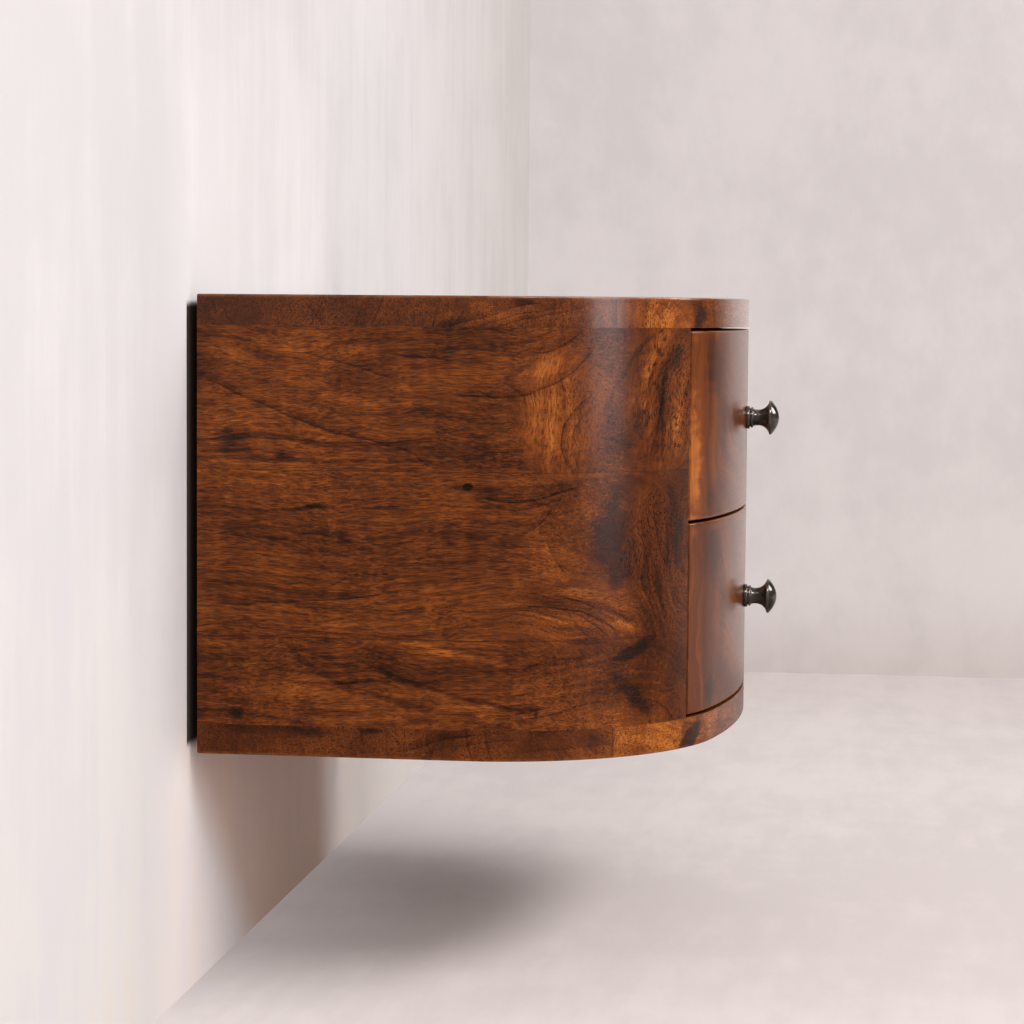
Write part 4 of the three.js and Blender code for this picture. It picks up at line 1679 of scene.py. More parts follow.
SIDE_MARKS = (
    Mark((23, -8), (15, 14), -0.34, softness=0.8, grey=0.25),
    Mark((56, -17), (9, 3), -0.4, softness=0.8, grey=0.2),
    Mark((178, -35), (4.5, 3), -0.6, softness=0.7),
    Mark((174, -35), (9, 4), -0.2, softness=0.8),
    Mark((27, -186), (7, 6), -0.42, softness=0.8, grey=0.2),
    Mark((222, -179), (9, 2.5), -0.4, softness=0.8),
    Mark((223, -182), (2.5, 6), -0.35, softness=0.8),
    Mark((46, 47), (20, 7), -0.2, turn=-10, softness=0.9),
    Mark((80, -50), (13, 2.5), -0.3, softness=0.9),
    Mark((124, -50), (12, 3), -0.22, softness=0.9),
    Mark((166, -72), (9, 5), -0.2, softness=0.9),
    Mark((272, -66), (17, 32), -0.22, turn=-8, softness=0.7, grey=0.6),
    Mark((281, -92), (10, 16), -0.2, turn=-20, softness=0.7, grey=0.5),
    Mark((284, -40), (14, 16), -0.1, softness=0.8, grey=0.3),
    Mark((258, -136), (17, 3.5), -0.3, softness=0.8, grey=0.2),
    Mark((293, -144), (24, 6), -0.34, turn=26, softness=0.6, grey=0.2),
    Mark((292, -172), (30, 7), -0.26, turn=-42, softness=0.8, grey=0.2),
    Mark((328, -170), (14, 22), -0.16, softness=0.9, grey=0.15),
    Mark((333, -72), (7, 24), -0.22, softness=0.7, grey=0.3),
    Mark((322, -66), (5, 30), -0.1, softness=0.9),
    Mark((296, 4), (8, 15), -0.26, turn=-15, softness=0.8, grey=0.35),
    Mark((330, 48), (7, 13), -0.26, turn=-25, softness=0.7, grey=0.35),
    Mark((316, 18), (6, 44), -0.2, turn=-9, softness=0.9),
    Mark((228, 40), (30, 14), 0.2, turn=20, softness=1.0),
    Mark((232, 4), (26, 34), 0.2, softness=1.0),
    Mark((234, -82), (20, 30), 0.14, turn=20, softness=1.0),
    Mark((250, -110), (36, 12), 0.12, turn=-18, softness=1.0),
    Mark((95, -60), (150, 25), -0.16, softness=1.0),
    Mark((60, 50), (84, 22), 0.17, softness=1.0),
    Mark((50, -168), (56, 22), 0.14, softness=1.0),
    Mark((286, -127), (18, 5), 0.26, turn=-18, softness=0.9),
    Mark((306, 50), (30, 11), 0.28, turn=64, softness=1.0),
    Mark((296, 30), (26, 7), 0.16, turn=64, softness=1.0),
    Mark((330, -2), (9, 30), 0.24, softness=1.0),
    Mark((268, -146), (16, 4), 0.2, turn=12, softness=0.9),
    Mark((156, -141), (34, 4), 0.24, turn=-14, softness=0.9),
    Mark((187, -147), (26, 3.5), 0.18, turn=-11, softness=0.9),
    Mark((160, -10), (60, 14), -0.1, softness=1.0),
    Mark((185, -78), (50, 22), -0.12, softness=1.0),
)

SIDE_CURLS = (
    Curl((352, -70), (318, -84), (48, 62), (1.0, 0.55), 0.4, 0.62, 3.0),
    Curl((420, -40), (322, 24), (44, 56), (0.9, 0.62), 0.52, 0.7, 6.0),
    Curl((196, -140), (244, -118), (60, 26), (0.42, 1.5), 0.54, 0.85, 8.0),
    Curl((318, 2), (238, 12), (36, 46), (1.0, 0.6), 0.6, 0.5, 11.0),
)

TOP_CURLS = (Curl((352, 50), (316, 74), (34, 22), (1.0, 0.8), 0.78, 0.7, 5.0),)

SIDE_LINES = (
    Line((2, 35), (134, -10), -6, 1.3, -0.36),
    Line((131, -8), (154, -24), 1, 1.0, -0.25),
    Line((68, 50), (134, 33), 0.5, 1.2, -0.28),
    Line((123, 50), (170, 45), 0, 1.0, -0.25),
    Line((168, 24), (223, 26), -3, 1.3, -0.36),
    Line((216, 25), (262, 54), -4, 1.2, -0.34),
    Line((219, 49), (256, 65), -1.5, 1.1, -0.32),
    Line((262, 24), (244, -26), -14, 1.1, -0.36),
    Line((268, 20), (251, -26), -13, 0.9, -0.22),
    Line((345, 34), (332, -2), -3, 1.0, -0.26),
    Line((309, 65), (267, 8), -5, 3.6, -0.2),
    Line((322, 62), (300, 18), -4, 3.6, -0.22),
    Line((311, 30), (316, -26), 2, 1.4, -0.22),
    Line((320, 20), (324, -26), 2, 1.1, -0.2),
    Line((184, -42), (252, -34), -6, 1.3, -0.36),
    Line((193, -49), (244, -42), -3, 1.0, -0.24),
    Line((20, -68), (64, -72), -1, 0.9, -0.24),
    Line((66, -69), (104, -75), 4, 1.0, -0.24),
    Line((2, -115), (138, -104), -2, 1.3, -0.3),
    Line((86, -101), (128, -92), 2, 1.0, -0.22),
    Line((212, -112), (286, -134), 7, 1.3, -0.36),
    Line((214, -103), (270, -118), 4, 1.0, -0.26),
    Line((200, -108), (278, -137), 8, 0.9, -0.24),
    Line((205, -114), (262, -135), 6, 0.9, -0.22),
    Line((230, -68), (243, -92), -2, 1.1, -0.26),
    Line((212, -66), (234, -48), -2, 1.1, -0.26),
    Line((288, -50), (322, -138), -7, 2.4, -0.12),
    Line((296, -46), (332, -134), -8, 2.0, -0.12),
    Line((308, -42), (322, -92), -4, 1.2, -0.2),
    Line((328, -86), (345, -98), -2, 1.0, -0.22),
    Line((57, -138), (106, -170), -3, 4.5, -0.2),
    Line((92, -164), (163, -182), -1, 4.5, -0.22),
    Line((108, -150), (224, -182), -3, 3.2, -0.3),
    Line((60, -142), (92, -150), 0, 0.9, -0.2),
)

TOP_MARKS = (
    Mark((318, 72), (24, 10), 0.2, turn=15, softness=0.9),
    Mark((200, 74), (44, 7), 0.16, turn=14, softness=1.0),
    Mark((163, 68), (24, 5), -0.2, turn=14, softness=0.9),
    Mark((208, 76), (70, 14), 0.24, softness=1.0),
    Mark((358, 76), (14, 11), -0.3, turn=70, softness=0.8, grey=0.3),
    Mark((14, 76), (6, 4), 0.14, turn=40, softness=0.8),
)

TOP_LINES = (
    Line((160, 65), (226, 84), 1, 1.2, -0.26),
    Line((176, 65), (240, 81), 1, 1.0, -0.22),
    Line((194, 66), (262, 82), 1, 1.0, -0.2),
    Line((72, 80), (84, 67), 1, 1.4, -0.2),
    Line((296, 82), (318, 68), 3, 1.0, -0.24),
    Line((306, 84), (332, 68), 4, 1.0, -0.22),
    Line((318, 85), (342, 68), 4, 1.2, -0.26),
)

BOTTOM_MARKS = (
    Mark((309, -203), (33, 60), 0.26, softness=0.1),
    Mark((350, -208), (22, 9), -0.45, turn=38, softness=0.5, grey=0.35),
    Mark((385, -203), (24, 40), 0.22, softness=1.0),
    Mark((58, -195), (60, 7), -0.18, softness=1.0),
    Mark((75, -197), (18, 4), -0.2, softness=0.9, grey=0.1),
    Mark((114, -195), (13, 3.5), -0.36, softness=0.9, grey=0.15),
    Mark((262, -202), (16, 8), -0.2, softness=0.9, grey=0.3),
)

BOTTOM_LINES = (
    Line((133, -209), (186, -195), 1, 1.1, -0.26),
    Line((150, -210), (214, -198), 2, 1.0, -0.22),
    Line((158, -200), (206, -194), 1, 1.0, -0.22),
    Line((200, -208), (262, -205), 1, 1.0, -0.16),
)


@dataclass(frozen=True)
class Workshop:
    """What every sub-assembly is finished and fastened with."""

    effects: Effects
    metals: "Metals"
    tools: "Tools"


class Assembly:
    """Pieces that move with one body."""

    ease = 1.0 * MM  # radius of the eased outer edges

    def __init__(self, body: str, shop: Workshop) -> None:
        """Takes the body and the workshop.

        Args:
            body: The body that the pieces move with.
            shop: The finishes and tools.
        """
        self.body = body
        self.shop = shop

    def fit(
        self,
        piece: bpy.types.Object,
        finish: Wood | bpy.types.Material,
        slot: str,
        node: str,
    ) -> None:
        """Dresses a piece that stands for one CAD node.

        Args:
            piece: The piece.
            finish: Its wood or its material.
            slot: The record's material slot; not used.
            node: The CAD node.
        """
        material = finish.material(self.shop.effects) if isinstance(finish, Wood) else finish
        dress(piece, material, self.body, [node])

    def fit_eased(
        self,
        nodes: Iterable[str],
        finish: bpy.types.Material,
        slot: str,
        ease: float,
    ) -> None:
        """Rounds the edges of CAD nodes and dresses each as a piece.

        Args:
            nodes: The CAD nodes.
            finish: Their material.
            slot: The record's material slot.
            ease: Radius of the rounding.
        """
        for node in nodes:
            self.fit(softened(node, ease), finish, slot, node)


class Case(Assembly):
    """The fixed case: boards, curved sides, its inside and its hanging hardware."""

    def __init__(self, shop: Workshop) -> None:
        """Takes the case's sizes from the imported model.

        Args:
            shop: The finishes and tools.
        """
        super().__init__("case", shop)
        self.top_low, self.top_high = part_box("top_board")
        self.bottom_low, self.bottom_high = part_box("bottom_board")
        self.plan = CasePlan(self.top_high.x, self.top_high.y, self.top_low.y)

    def build(self) -> None:
        """Builds and dresses every piece of the case."""
        self.boards()
        self.sides()
        self.inside()
        self.bars()
        self.bumpers()

    def boards(self) -> None:
        """Builds the top and bottom boards, of planks that run across the case."""
        joints = {"first_joint": -0.6752, "width": 0.4, "turn": FLAT_ACROSS}
        top_rows = Planks(hearts=((0.05, 0.0, 0.0), (0.12, 0.0, -0.05)), seed=3.0, **joints)
        bottom_rows = Planks(hearts=((-0.3, 0.0, -0.3), (-0.17, 0.0, -0.26)), seed=8.0, **joints)
        smooth = replace(STAINED, relief=0.05)
        top = Wood(
            "Top board wood",
            replace(smooth, lacquer=0.62),
            top_rows,
            TOP_MARKS,
            TOP_LINES,
            TOP_CURLS,
            level=0.582,
        )
        bottom = Wood(
            "Bottom board wood",
            smooth,
            bottom_rows,
            BOTTOM_MARKS,
            BOTTOM_LINES,
            level=0.596,
        )
        upper = eased_rings(self.top_low.z, self.top_high.z, 0.0, self.ease)
        lower = eased_rings(self.bottom_low.z, self.bottom_high.z, self.ease, 0.0)
        for node, rings, wood in (("top_board", upper, top), ("bottom_board", lower, bottom)):
            piece = raised(f"{node}_fine", self.plan.board(), rings)
            self.fit(piece, wood, "stained_wood", node)

    def sides(self) -> None:
        """Builds the two curved sides, of planks glued edge to edge."""
        near_planks = Planks(
            first_joint=-0.2435,
            width=0.1085,
            hearts=((-0.215, 0.0, -0.21), (-0.2235, 0.0, -0.072), (-0.205, 0.0, 0.035)),
            spread=0.0,
            seed=5.0,
        )
        left = Wood(
            "Left side wood",
            STAINED,
            near_planks,
            SIDE_MARKS,
            SIDE_LINES,
            SIDE_CURLS,
            ring_width=0.006,
            level=0.488,
        )
        far_planks = Planks(
            first_joint=-0.23,
            width=0.11,
            hearts=((0.2, 0.0, -0.2), (0.224, 0.0, -0.075), (0.205, 0.0, 0.03)),
            spread=0.02,
            seed=14.0,
        )
        right = Wood("Right side wood", STAINED, far_planks, ring_width=0.006)
        rings = eased_rings(self.bottom_high.z, self.top_low.z, 0.0, 0.0)
        near = raised("left_side_fine", self.plan.side(), rings)
        far = raised("right_side_fine", mirrored(self.plan.side()), rings)
        self.fit(near, left, "stained_wood", "left_side")
        self.fit(far, right, "stained_wood", "right_side")

    def inside(self) -> None:
        """Eases and dresses the panels, rails, runners and dowels."""
        along = Planks(
            first_joint=-0.12,
            width=0.095,
            hearts=((0.1, 0.0, 0.12),),
            spread=0.2,
            seed=21.0,
        )
        across = Planks(
            turn=ACROSS,
            first_joint=-0.11,
            width=0.1,
            hearts=((0.1, 0.0, 0.1),),
            seed=24.0,
        )
        effects = self.shop.effects
        back = Wood("Back panel wood", STAINED, across).material(effects)
        panel = Wood("Panel wood", PLAIN, along).material(effects)
        rail = Wood("Rail wood", PLAIN, across).material(effects)
        runner = Wood("Runner wood", RUNNER, along, contrast=0.8).material(effects)
        ease = 0.6 * MM
        self.fit_eased(["back_panel"], back, "stained_wood", ease)
        self.fit_eased(["hanging_rail", "top_rail", "mid_rail"], rail, "inner_wood", ease)
        for side in ("left", "right"):
            self.fit_eased([f"{side}_runner_panel"], panel, "inner_wood", ease)
            runners = [f"{level}_{side}_runner" for level in ("lower", "upper")]
            self.fit_eased(runners, runner, "runner_wood", ease)
        for name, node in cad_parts.items():
            if name.endswith("_dowel"):
                node.data.materials.clear()
                node.data.materials.append(runner)

    def bars(self) -> None:
        """Eases the hanging bars and sets the case's screws."""
        aluminium = self.shop.metals.aluminium
        self.fit_eased(["wall_bar", "case_bar"], aluminium, "bar_aluminium", 0.25 * MM)
        runner_screws = [
            f"{level}_{side}_runner_screw_{i}"
            for level in ("lower", "upper")
            for side in ("left", "right")
            for i in (1, 2)
        ]
        bar_screws = [f"case_bar_screw_{i}" for i in (1, 2, 3)]
        for name, nodes, length in (
            ("runner_screws", runner_screws, 16 * MM),
            ("case_bar_screws", bar_screws, 28 * MM),
        ):
            self.shop.tools.screws(name, nodes, self.body, Countersunk(length))

    def bumpers(self) -> None:
        """Builds the two rubber bumpers, with rounded rims and a shallow dish."""
        for side in ("left", "right"):
            node = f"{side}_bumper"
            low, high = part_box(node)
            radius, height = (high.x - low.x) / 2, high.y - low.y
            rim = 1.0 * MM
            dish = height - 0.5 * MM
            shape = Profile(0.0, 0.0).line(radius - rim, 0.0).curve((radius, 0.0), (radius, rim), 5)
            shape.line(radius, height - rim).curve((radius, height), (radius - rim, height), 5)
            shape.line(radius * 0.7, height).curve((radius * 0.4, dish), (0.0, dish), 6)
            rubber = self.shop.metals.rubber
            piece = self.shop.tools.turned(shape, f"{node}_fine", 48, 90, rubber)
            place = Vector(((low.x + high.x) / 2, low.y, (low.z + high.z) / 2))
            stand(piece, place, Vector((0, 1, 0)))
            self.fit(piece, rubber, "rubber", node)


def stand(piece: bpy.types.Object, place: Vector, axis: Vector) -> None:
    """Turns a piece's mesh so that its Z lies along an axis, and moves it to its place.

    Args:
        piece: The piece.
        place: Where its origin goes.
        axis: Where its Z points.
    """
    turn = axis.to_track_quat("Z", "Y").to_matrix().to_4x4()
    piece.data.transform(Matrix.Translation(place) @ turn)
    shape = bmesh.new()
    shape.from_mesh(piece.data)
    bmesh.ops.recalc_face_normals(shape, faces=shape.faces)
    shape.to_mesh(piece.data)
    shape.free()


@dataclass(frozen=True)
class Screw:
    """A screw with a crossed recess, pointing along -Z from the face of its head."""

    length: float
    diameter: float = 4 * MM
    head: float = 8 * MM
    head_height: float = 2.6 * MM
    tip: float = 4 * MM


class Countersunk(Screw):
    """A countersunk wood screw."""

    def profile(self) -> Profile:
        """The screw's outline, from the middle of its face to its tip."""
        core, head = self.diameter / 2, self.head / 2
        outline = Profile(0.0, 0.0).line(head - 0.15 * MM, 0.0).line(head, -0.12 * MM)
        outline.line(head, -self.head_height / 8).line(core, -self.head_height)
        pitch = 1.6 * MM
        depth = -self.head_height - pitch
        while depth > self.tip - self.length:
            outline.line(core, depth).line(core * 0.74, depth - pitch * 0.35)
            outline.line(core, depth - pitch * 0.7)
            depth -= pitch
        return outline.line(core / 4, -self.length).line(0.0, -self.length)


class PanHead(Screw):
    """A screw with a domed head."""

    def profile(self) -> Profile:
        """The screw's outline, from the middle of its crown to its tip."""
        core, head, height = self.diameter / 2, self.head / 2, self.head_height
        outline = Profile(0.0, 0.0).line(head / 2, 0.0)
        outline.curve((head * 0.96, -height * 0.04), (head, -height * 0.6), 8).line(head, -height)
        outline.line(core, -height).line(core, self.tip - self.length)
        return outline.line(core / 4, -self.length).line(0.0, -self.length)


class Tools:
    """The geometry node trees and what is made with them."""

    def __init__(self, metals: "Metals") -> None:
        """Builds the trees.

        Args:
            metals: The metal finishes.
        """
        self.metals = metals
        self.lathe = lathe()
        self.rows = fastener_rows()

    def turned(
        self,
        shape: Profile,
        name: str,
        sides: int,
        steps: int,
        material: bpy.types.Material,
    ) -> bpy.types.Object:
        """Turns a profile about Z.

        Args:
            shape: The profile.
            name: The piece's name.
            sides: How many faces it has round its axis.
            steps: How many points the profile is drawn with.
            material: The piece's finish.

        Returns:
            The piece, with its axis on Z.
        """
        inputs = {"Sides": sides, "Steps": steps, "Material": material}
        return self.lathe.run(shape.as_wire(name), inputs)

    def screw(self, name: str, kind: Countersunk | PanHead) -> bpy.types.Object:
        """Turns one screw and cuts its crossed recess.

        Args:
            name: The screw's name.
            kind: Its form and sizes.

        Returns:
            The screw, with its face at the origin.
        """
        body = self.turned(kind.profile(), name, 32, 150, self.metals.zinc)
        stand(body, Vector((0, 0, 0)), Vector((0, 0, 1)))
        reach, slot, depth = kind.diameter * 0.5, kind.diameter * 0.1, kind.head_height * 0.6
        rings = [Ring(slot * 0.7, -depth), Ring(0.0, kind.head_height)]
        cutters = []
        for x, y in ((reach, slot), (slot, reach)):
            outline = [Vector(p) for p in ((-x, -y), (x, -y), (x, y), (-x, y))]
            cutters.append(raised("recess", outline, rings))
        return carved(body, cutters)

    def screws(
        self,
        name: str,
        nodes: Sequence[str],
        body: str,
        kind: Countersunk | PanHead,
    ) -> bpy.types.Object:
        """Sets a row of screws where CAD nodes are, as one piece.

        Args:
            name: The piece's name.
            nodes: The screws' CAD nodes.
            body: The body that they move with.
            kind: The screws' form.

        Returns:
            The piece.
        """
        master = self.screw(name + "_one", kind)
        shape = bmesh.new()
        axis_layer = shape.verts.layers.float_vector.new("axis")
        for node in nodes:
            face, axis = screw_place(node)
            shape.verts.new(face)[axis_layer] = axis
        points = as_object(name, shape)
        piece = self.rows.run(points, {"Fastener": master, "Material": self.metals.zinc})
        bpy.data.objects.remove(master)
        return dress(piece, self.metals.zinc, body, nodes)


def screw_place(node: str) -> tuple[Vector, Vector]:
    """Finds a screw's face and the way it faces from its CAD node.

    Args:
        node: The screw's CAD node.

    Returns:
        The middle of its face, and the direction out of its head.
    """
    low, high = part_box(node)
    middle, size = (low + high) / 2, high - low
    long = max(range(3), key=lambda i: size[i])
    verts = [v.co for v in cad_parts[node].data.vertices]
    others = [i for i in range(3) if i != long]
    end_depth = 0.6 * MM

    def girth(value: float) -> float:
        """Returns the widest distance from the axis among the points near one end."""
        near = [v for v in verts if abs(v[long] - value) < end_depth]
        return max(math.hypot(*(v[i] - middle[i] for i in others)) for v in near)

    at_high = girth(high[long]) > girth(low[long])
    axis = Vector((0, 0, 0))
    axis[long] = 1.0 if at_high else -1.0
    face = middle.copy()
    face[long] = high[long] if at_high else low[long]
    return face, axis


@dataclass(frozen=True)
class KnobForm:
    """A turned knob's sizes, along its own axis from its base."""

    base: float = 16.6 * MM
    base_height: float = 2.6 * MM
    cove: float = 13.8 * MM
    cove_height: float = 0.8 * MM
    bead: float = 15 * MM
    bead_height: float = 1.6 * MM
    neck: float = 11.5 * MM
    neck_height: float = 8.4 * MM
    head: float = 24.6 * MM
    head_height: float = 16.4 * MM
    rim: float = 2 * MM
    projection: float = 23.6 * MM

    def profile(self) -> Profile:
        """The knob's outline, from the middle of its base to the middle of its crown."""
        base, head, neck, cove = self.base / 2, self.head / 2, self.neck / 2, self.cove / 2
        edge = self.rim / 4
        bead = self.base_height + self.cove_height
        bead_top = bead + self.bead_height
        bulge = self.bead / 2
        outline = Profile(0.0, 0.0).line(base - edge, 0.0).curve((base, 0.0), (base, edge * 1.6), 5)
        outline.curve((base, self.base_height), (base - edge * 1.2, self.base_height), 6)
        outline.curve((cove, self.base_height), (cove, (self.base_height + bead) / 2), 5)
        outline.line(cove, bead).curve((bulge, bead), (bulge, (bead + bead_top) / 2), 7)
        outline.curve((bulge, bead_top), (cove, bead_top), 7)
        outline.curve((neck, bead_top), (neck, self.neck_height), 14)
        outline.curve((neck, self.head_height - self.rim), (head - edge, self.head_height), 20)
        outline.curve((head, self.head_height), (head, self.head_height + self.rim / 2), 6)
        outline.curve((head, self.head_height + self.rim), (head - edge, self.head_height + self.rim), 6)
        return outline.curve((head / 2, self.projection), (0.0, self.projection), 24)


@dataclass(frozen=True)
class Dovetails:
    """The tails at the front of a drawer side."""

    count: int = 3
    length: float = 14 * MM
    flare: float = 2.4 * MM
    root_share: float = 0.56
    gap: float = 0.3 * MM

    def socket(self, root_y: float, low: float, spacing: float, place: int) -> list[Vector]:
        """The outline of one socket in the drawer front, in (Y, Z).

        Args:
            root_y: Y of the front's inner face.
            low: Lower edge of the drawer side.
            spacing: Height that each tail takes up.
            place: Which tail, from the lowest.

        Returns:
            Its corners.
        """
        middle = low + spacing * (place + 0.5)
        root = spacing * self.root_share / 2 + self.gap
        end = root + self.flare
        far = root_y - self.length - self.gap
        start = root_y + OVERRUN
        corners = ((start, -root), (start, root), (far, end), (far, -end))
        return [Vector((y, middle + z)) for y, z in corners]


class Level(Enum):
    """The two drawers, by their height in the case."""

    LOWER = "lower"
    UPPER = "upper"


@dataclass(frozen=True)
class FrontGrain:
    """What sets one drawer front's grain apart from the other's."""

    seed: float
    level: float
    flare: float
    curl_level: float


FRONT_GRAINS = {
    Level.UPPER: FrontGrain(seed=31.0, level=0.5, flare=0.4, curl_level=0.56),
    Level.LOWER: FrontGrain(seed=37.0, level=0.47, flare=0.04, curl_level=0.47),
}
BOX_SEEDS = {Level.UPPER: 41.0, Level.LOWER: 47.0}


class Drawer(Assembly):
    """One drawer: its bowed front, its dovetailed box, its knob and its turn button."""

    thickness = 24 * MM
    land = 18 * MM
    tails = Dovetails()

    def __init__(self, level: Level, plan: CasePlan, shop: Workshop) -> None:
        """Takes the drawer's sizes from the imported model.

        Args:
            level: Which drawer.
            plan: The case's plan.
            shop: The finishes and tools.
        """
        super().__init__(f"{level.value}_drawer", shop)
        self.level = level
        self.word = level.value
        self.plan = plan
        self.low, self.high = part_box(f"{self.word}_drawer_front")

    def build(self) -> None:
        """Builds and dresses every piece of the drawer."""
        self.front()
        self.box()
        self.knob()
        self.turn_button()

    def outline(self) -> list[Vector]:
        """The front's plan: bowed outside, and hollowed between two flat lands inside."""
        reach = self.high.x
        land_y = self.high.y
        half = reach - self.land
        rise = land_y - (self.plan.front + self.thickness)
        radius = (half**2 + rise**2) / (2 * rise)
        swing = math.asin(half / radius)
        centre = Vector((0, land_y - rise + radius))
        hollow = arc(centre, radius, DOWN - swing, DOWN + swing)[::-1]
        outer = self.plan.front_edge(reach)
        return [Vector((-reach, land_y)), *outer, Vector((reach, land_y)), *hollow]

    def front(self) -> None:
        """Builds the bowed front with the sockets that take the sides' tails."""
        node = f"{self.word}_drawer_front"
        rings = eased_rings(self.low.z, self.high.z, self.ease, self.ease)
        front = raised(f"{node}_fine", self.outline(), rings)
        side_low, side_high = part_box(f"{self.word}_drawer_left_side")
        spacing = (side_high.z - side_low.z) / self.tails.count
        depth = side_high.x - side_low.x + self.tails.gap
        cutters = []
        for hand in (-1, 1):
            ends = sorted((hand * (self.high.x + OVERRUN), hand * (self.high.x - depth)))
            for place in range(self.tails.count):
                outline = self.tails.socket(self.high.y, side_low.z, spacing, place)
                cutters.append(prism("socket", outline, *ends))
        carved(front, cutters)
        self.fit(front, self.front_wood(), "stained_wood", node)

    def front_wood(self) -> Wood:
        """The front's wood, with a bright flare down its left edge."""
        own = FRONT_GRAINS[self.level]
        foot, centre, head = (z / MM for z in (self.low.z, (self.low.z + self.high.z) / 2, self.high.z))
        hearts = ((0.2, 0.0, (centre + 90) * MM),)
        along = Planks(turn=ACROSS, hearts=hearts, spread=0.0, seed=own.seed, **NO_JOINT)
        marks = (
            Mark((-160, head - 6), (7, 6), 0.2, softness=1.0),
            Mark((-132, foot + 14), (16, 14), -0.22, softness=0.9, grey=0.2),
            Mark((-12, centre), (7, 12), -0.3, softness=0.8),
            Mark((-164, centre - 28), (17, 74), own.flare, softness=0.9),
            Mark((-128, head - 22), (26, 28), -0.24, softness=1.0, grey=0.35),
            Mark((-104, centre - 4), (13, 60), -0.16, softness=1.0),
        )
        curls = (
            Curl((40, centre), (-146, centre), (38, 80), (1.0, 0.4), own.curl_level, 0.5, own.seed),
            Curl((160, centre + 90), (-84, centre), (46, 90), (0.5, 1.0), 0.5, 0.6, own.seed + 3),
        )
        return Wood(
            f"{self.word} front wood",
            replace(STAINED, relief=0.03),
            along,
            marks,
            curls=curls,
            plan=MarkPlan.FRONT,
            ring_width=0.009,
            swirl=0.03,
            contrast=0.7,
            pores=0.06,
            level=own.level,
        )

    def box(self) -> None:
        """Eases and dresses the drawer's sides, back and bottom."""
        seed = BOX_SEEDS[self.level]
        along = Planks(hearts=((0.3, 0.0, 0.1),), spread=0.1, seed=seed, **NO_JOINT)
        across = Planks(turn=ACROSS, hearts=((0.3, 0.0, 0.05),), spread=0.1, seed=seed + 2, **NO_JOINT)
        calm = {"contrast": 0.75, "pores": 0.2, "ring_width": 0.009}
        for words, name, planks in (
            (("left_side", "right_side"), "side", along),
            (("back", "bottom"), "back", across),
        ):
            wood = Wood(f"{self.word} drawer {name} wood", PLAIN, planks, **calm)
            nodes = [f"{self.word}_drawer_{word}" for word in words]
            self.fit_eased(nodes, wood.material(self.shop.effects), "inner_wood", 0.4 * MM)

    def knob(self) -> None:
        """Turns the knob and sets it on the middle of the bow, with its screw behind."""
        node = f"{self.word}_knob"
        low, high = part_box(node)
        form, black = KnobForm(), self.shop.metals.blackened
        piece = self.shop.tools.turned(form.profile(), f"{node}_fine", 72, 220, black)
        rim_wear(piece, form)
        stand(piece, Vector((0, high.y, (low.z + high.z) / 2)), Vector((0, -1, 0)))
        self.fit(piece, black, "blackened_metal", node)
        screw_low, screw_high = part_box(f"{node}_screw")
        kind = PanHead(screw_high.y - screw_low.y, head=9 * MM, head_height=3 * MM, tip=0.5 * MM)
        self.screw(f"{node}_screw", kind)

    def turn_button(self) -> None:
        """Builds the turn button with rounded ends, and its screw."""
        node = f"{self.word}_turn_button"
        low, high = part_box(node)
        radius = (high.x - low.x) / 2
        reach = (high.z - low.z) / 2 - radius
        top = arc(Vector((0, reach)), radius, 0, math.pi)
        foot = arc(Vector((0, -reach)), radius, math.pi, math.tau)
        thickness, ease, bore = high.y - low.y, 0.6 * MM, 2.3 * MM
        piece = raised(f"{node}_fine", top + foot, eased_rings(0.0, thickness, ease, ease))
        circle = arc(Vector((0, 0)), bore, 0, math.tau)[:-1]
        carved(piece, [raised("bore", circle, [Ring(0.0, -MM), Ring(0.0, 8 * MM)])])
        place = Vector(((low.x + high.x) / 2, high.y, (low.z + high.z) / 2))
        piece.data.transform(Matrix.Translation(place) @ Matrix.Rotation(QUARTER, 4, "X"))
        grain = Planks(turn=UPRIGHT, seed=53.0, **NO_JOINT)
        wood = Wood(f"{node} wood", RUNNER, grain, contrast=0.8)
        Assembly(node, self.shop).fit(piece, wood, "runner_wood", node)
        self.screw(f"{node}_screw", PanHead(17 * MM))

    def screw(self, node: str, kind: PanHead) -> None:
        """Sets one screw of the drawer where its CAD node is.

        Args:
            node: The screw's CAD node.
            kind: Its form and sizes.
        """
        self.shop.tools.screws(f"{node}_fine", [node], self.body, kind)


def rim_wear(piece: bpy.types.Object, form: KnobForm) -> None:
    """Marks a knob's rim, bead and base edge as rubbed.

    Args:
        piece: The knob, still standing on Z = 0.
        form: Its sizes.
    """
    layer = piece.data.attributes.new("wear", "FLOAT", "POINT")
    bead_height = form.base_height + form.cove_height + form.bead_height / 2
    rubbed = (
        (form.head / 2, form.head_height + form.rim / 2),
        (form.bead / 2, bead_height),
        (form.base / 2, form.base_height),
    )
    reach = 1.2 * MM
    values = []
    for vert in piece.data.vertices:
        here = (math.hypot(vert.co.x, vert.co.y), vert.co.z)
        nearest = min(math.dist(here, edge) for edge in rubbed)
        values.append(max(0.0, 1.0 - nearest / reach))
    layer.data.foreach_set("value", values)


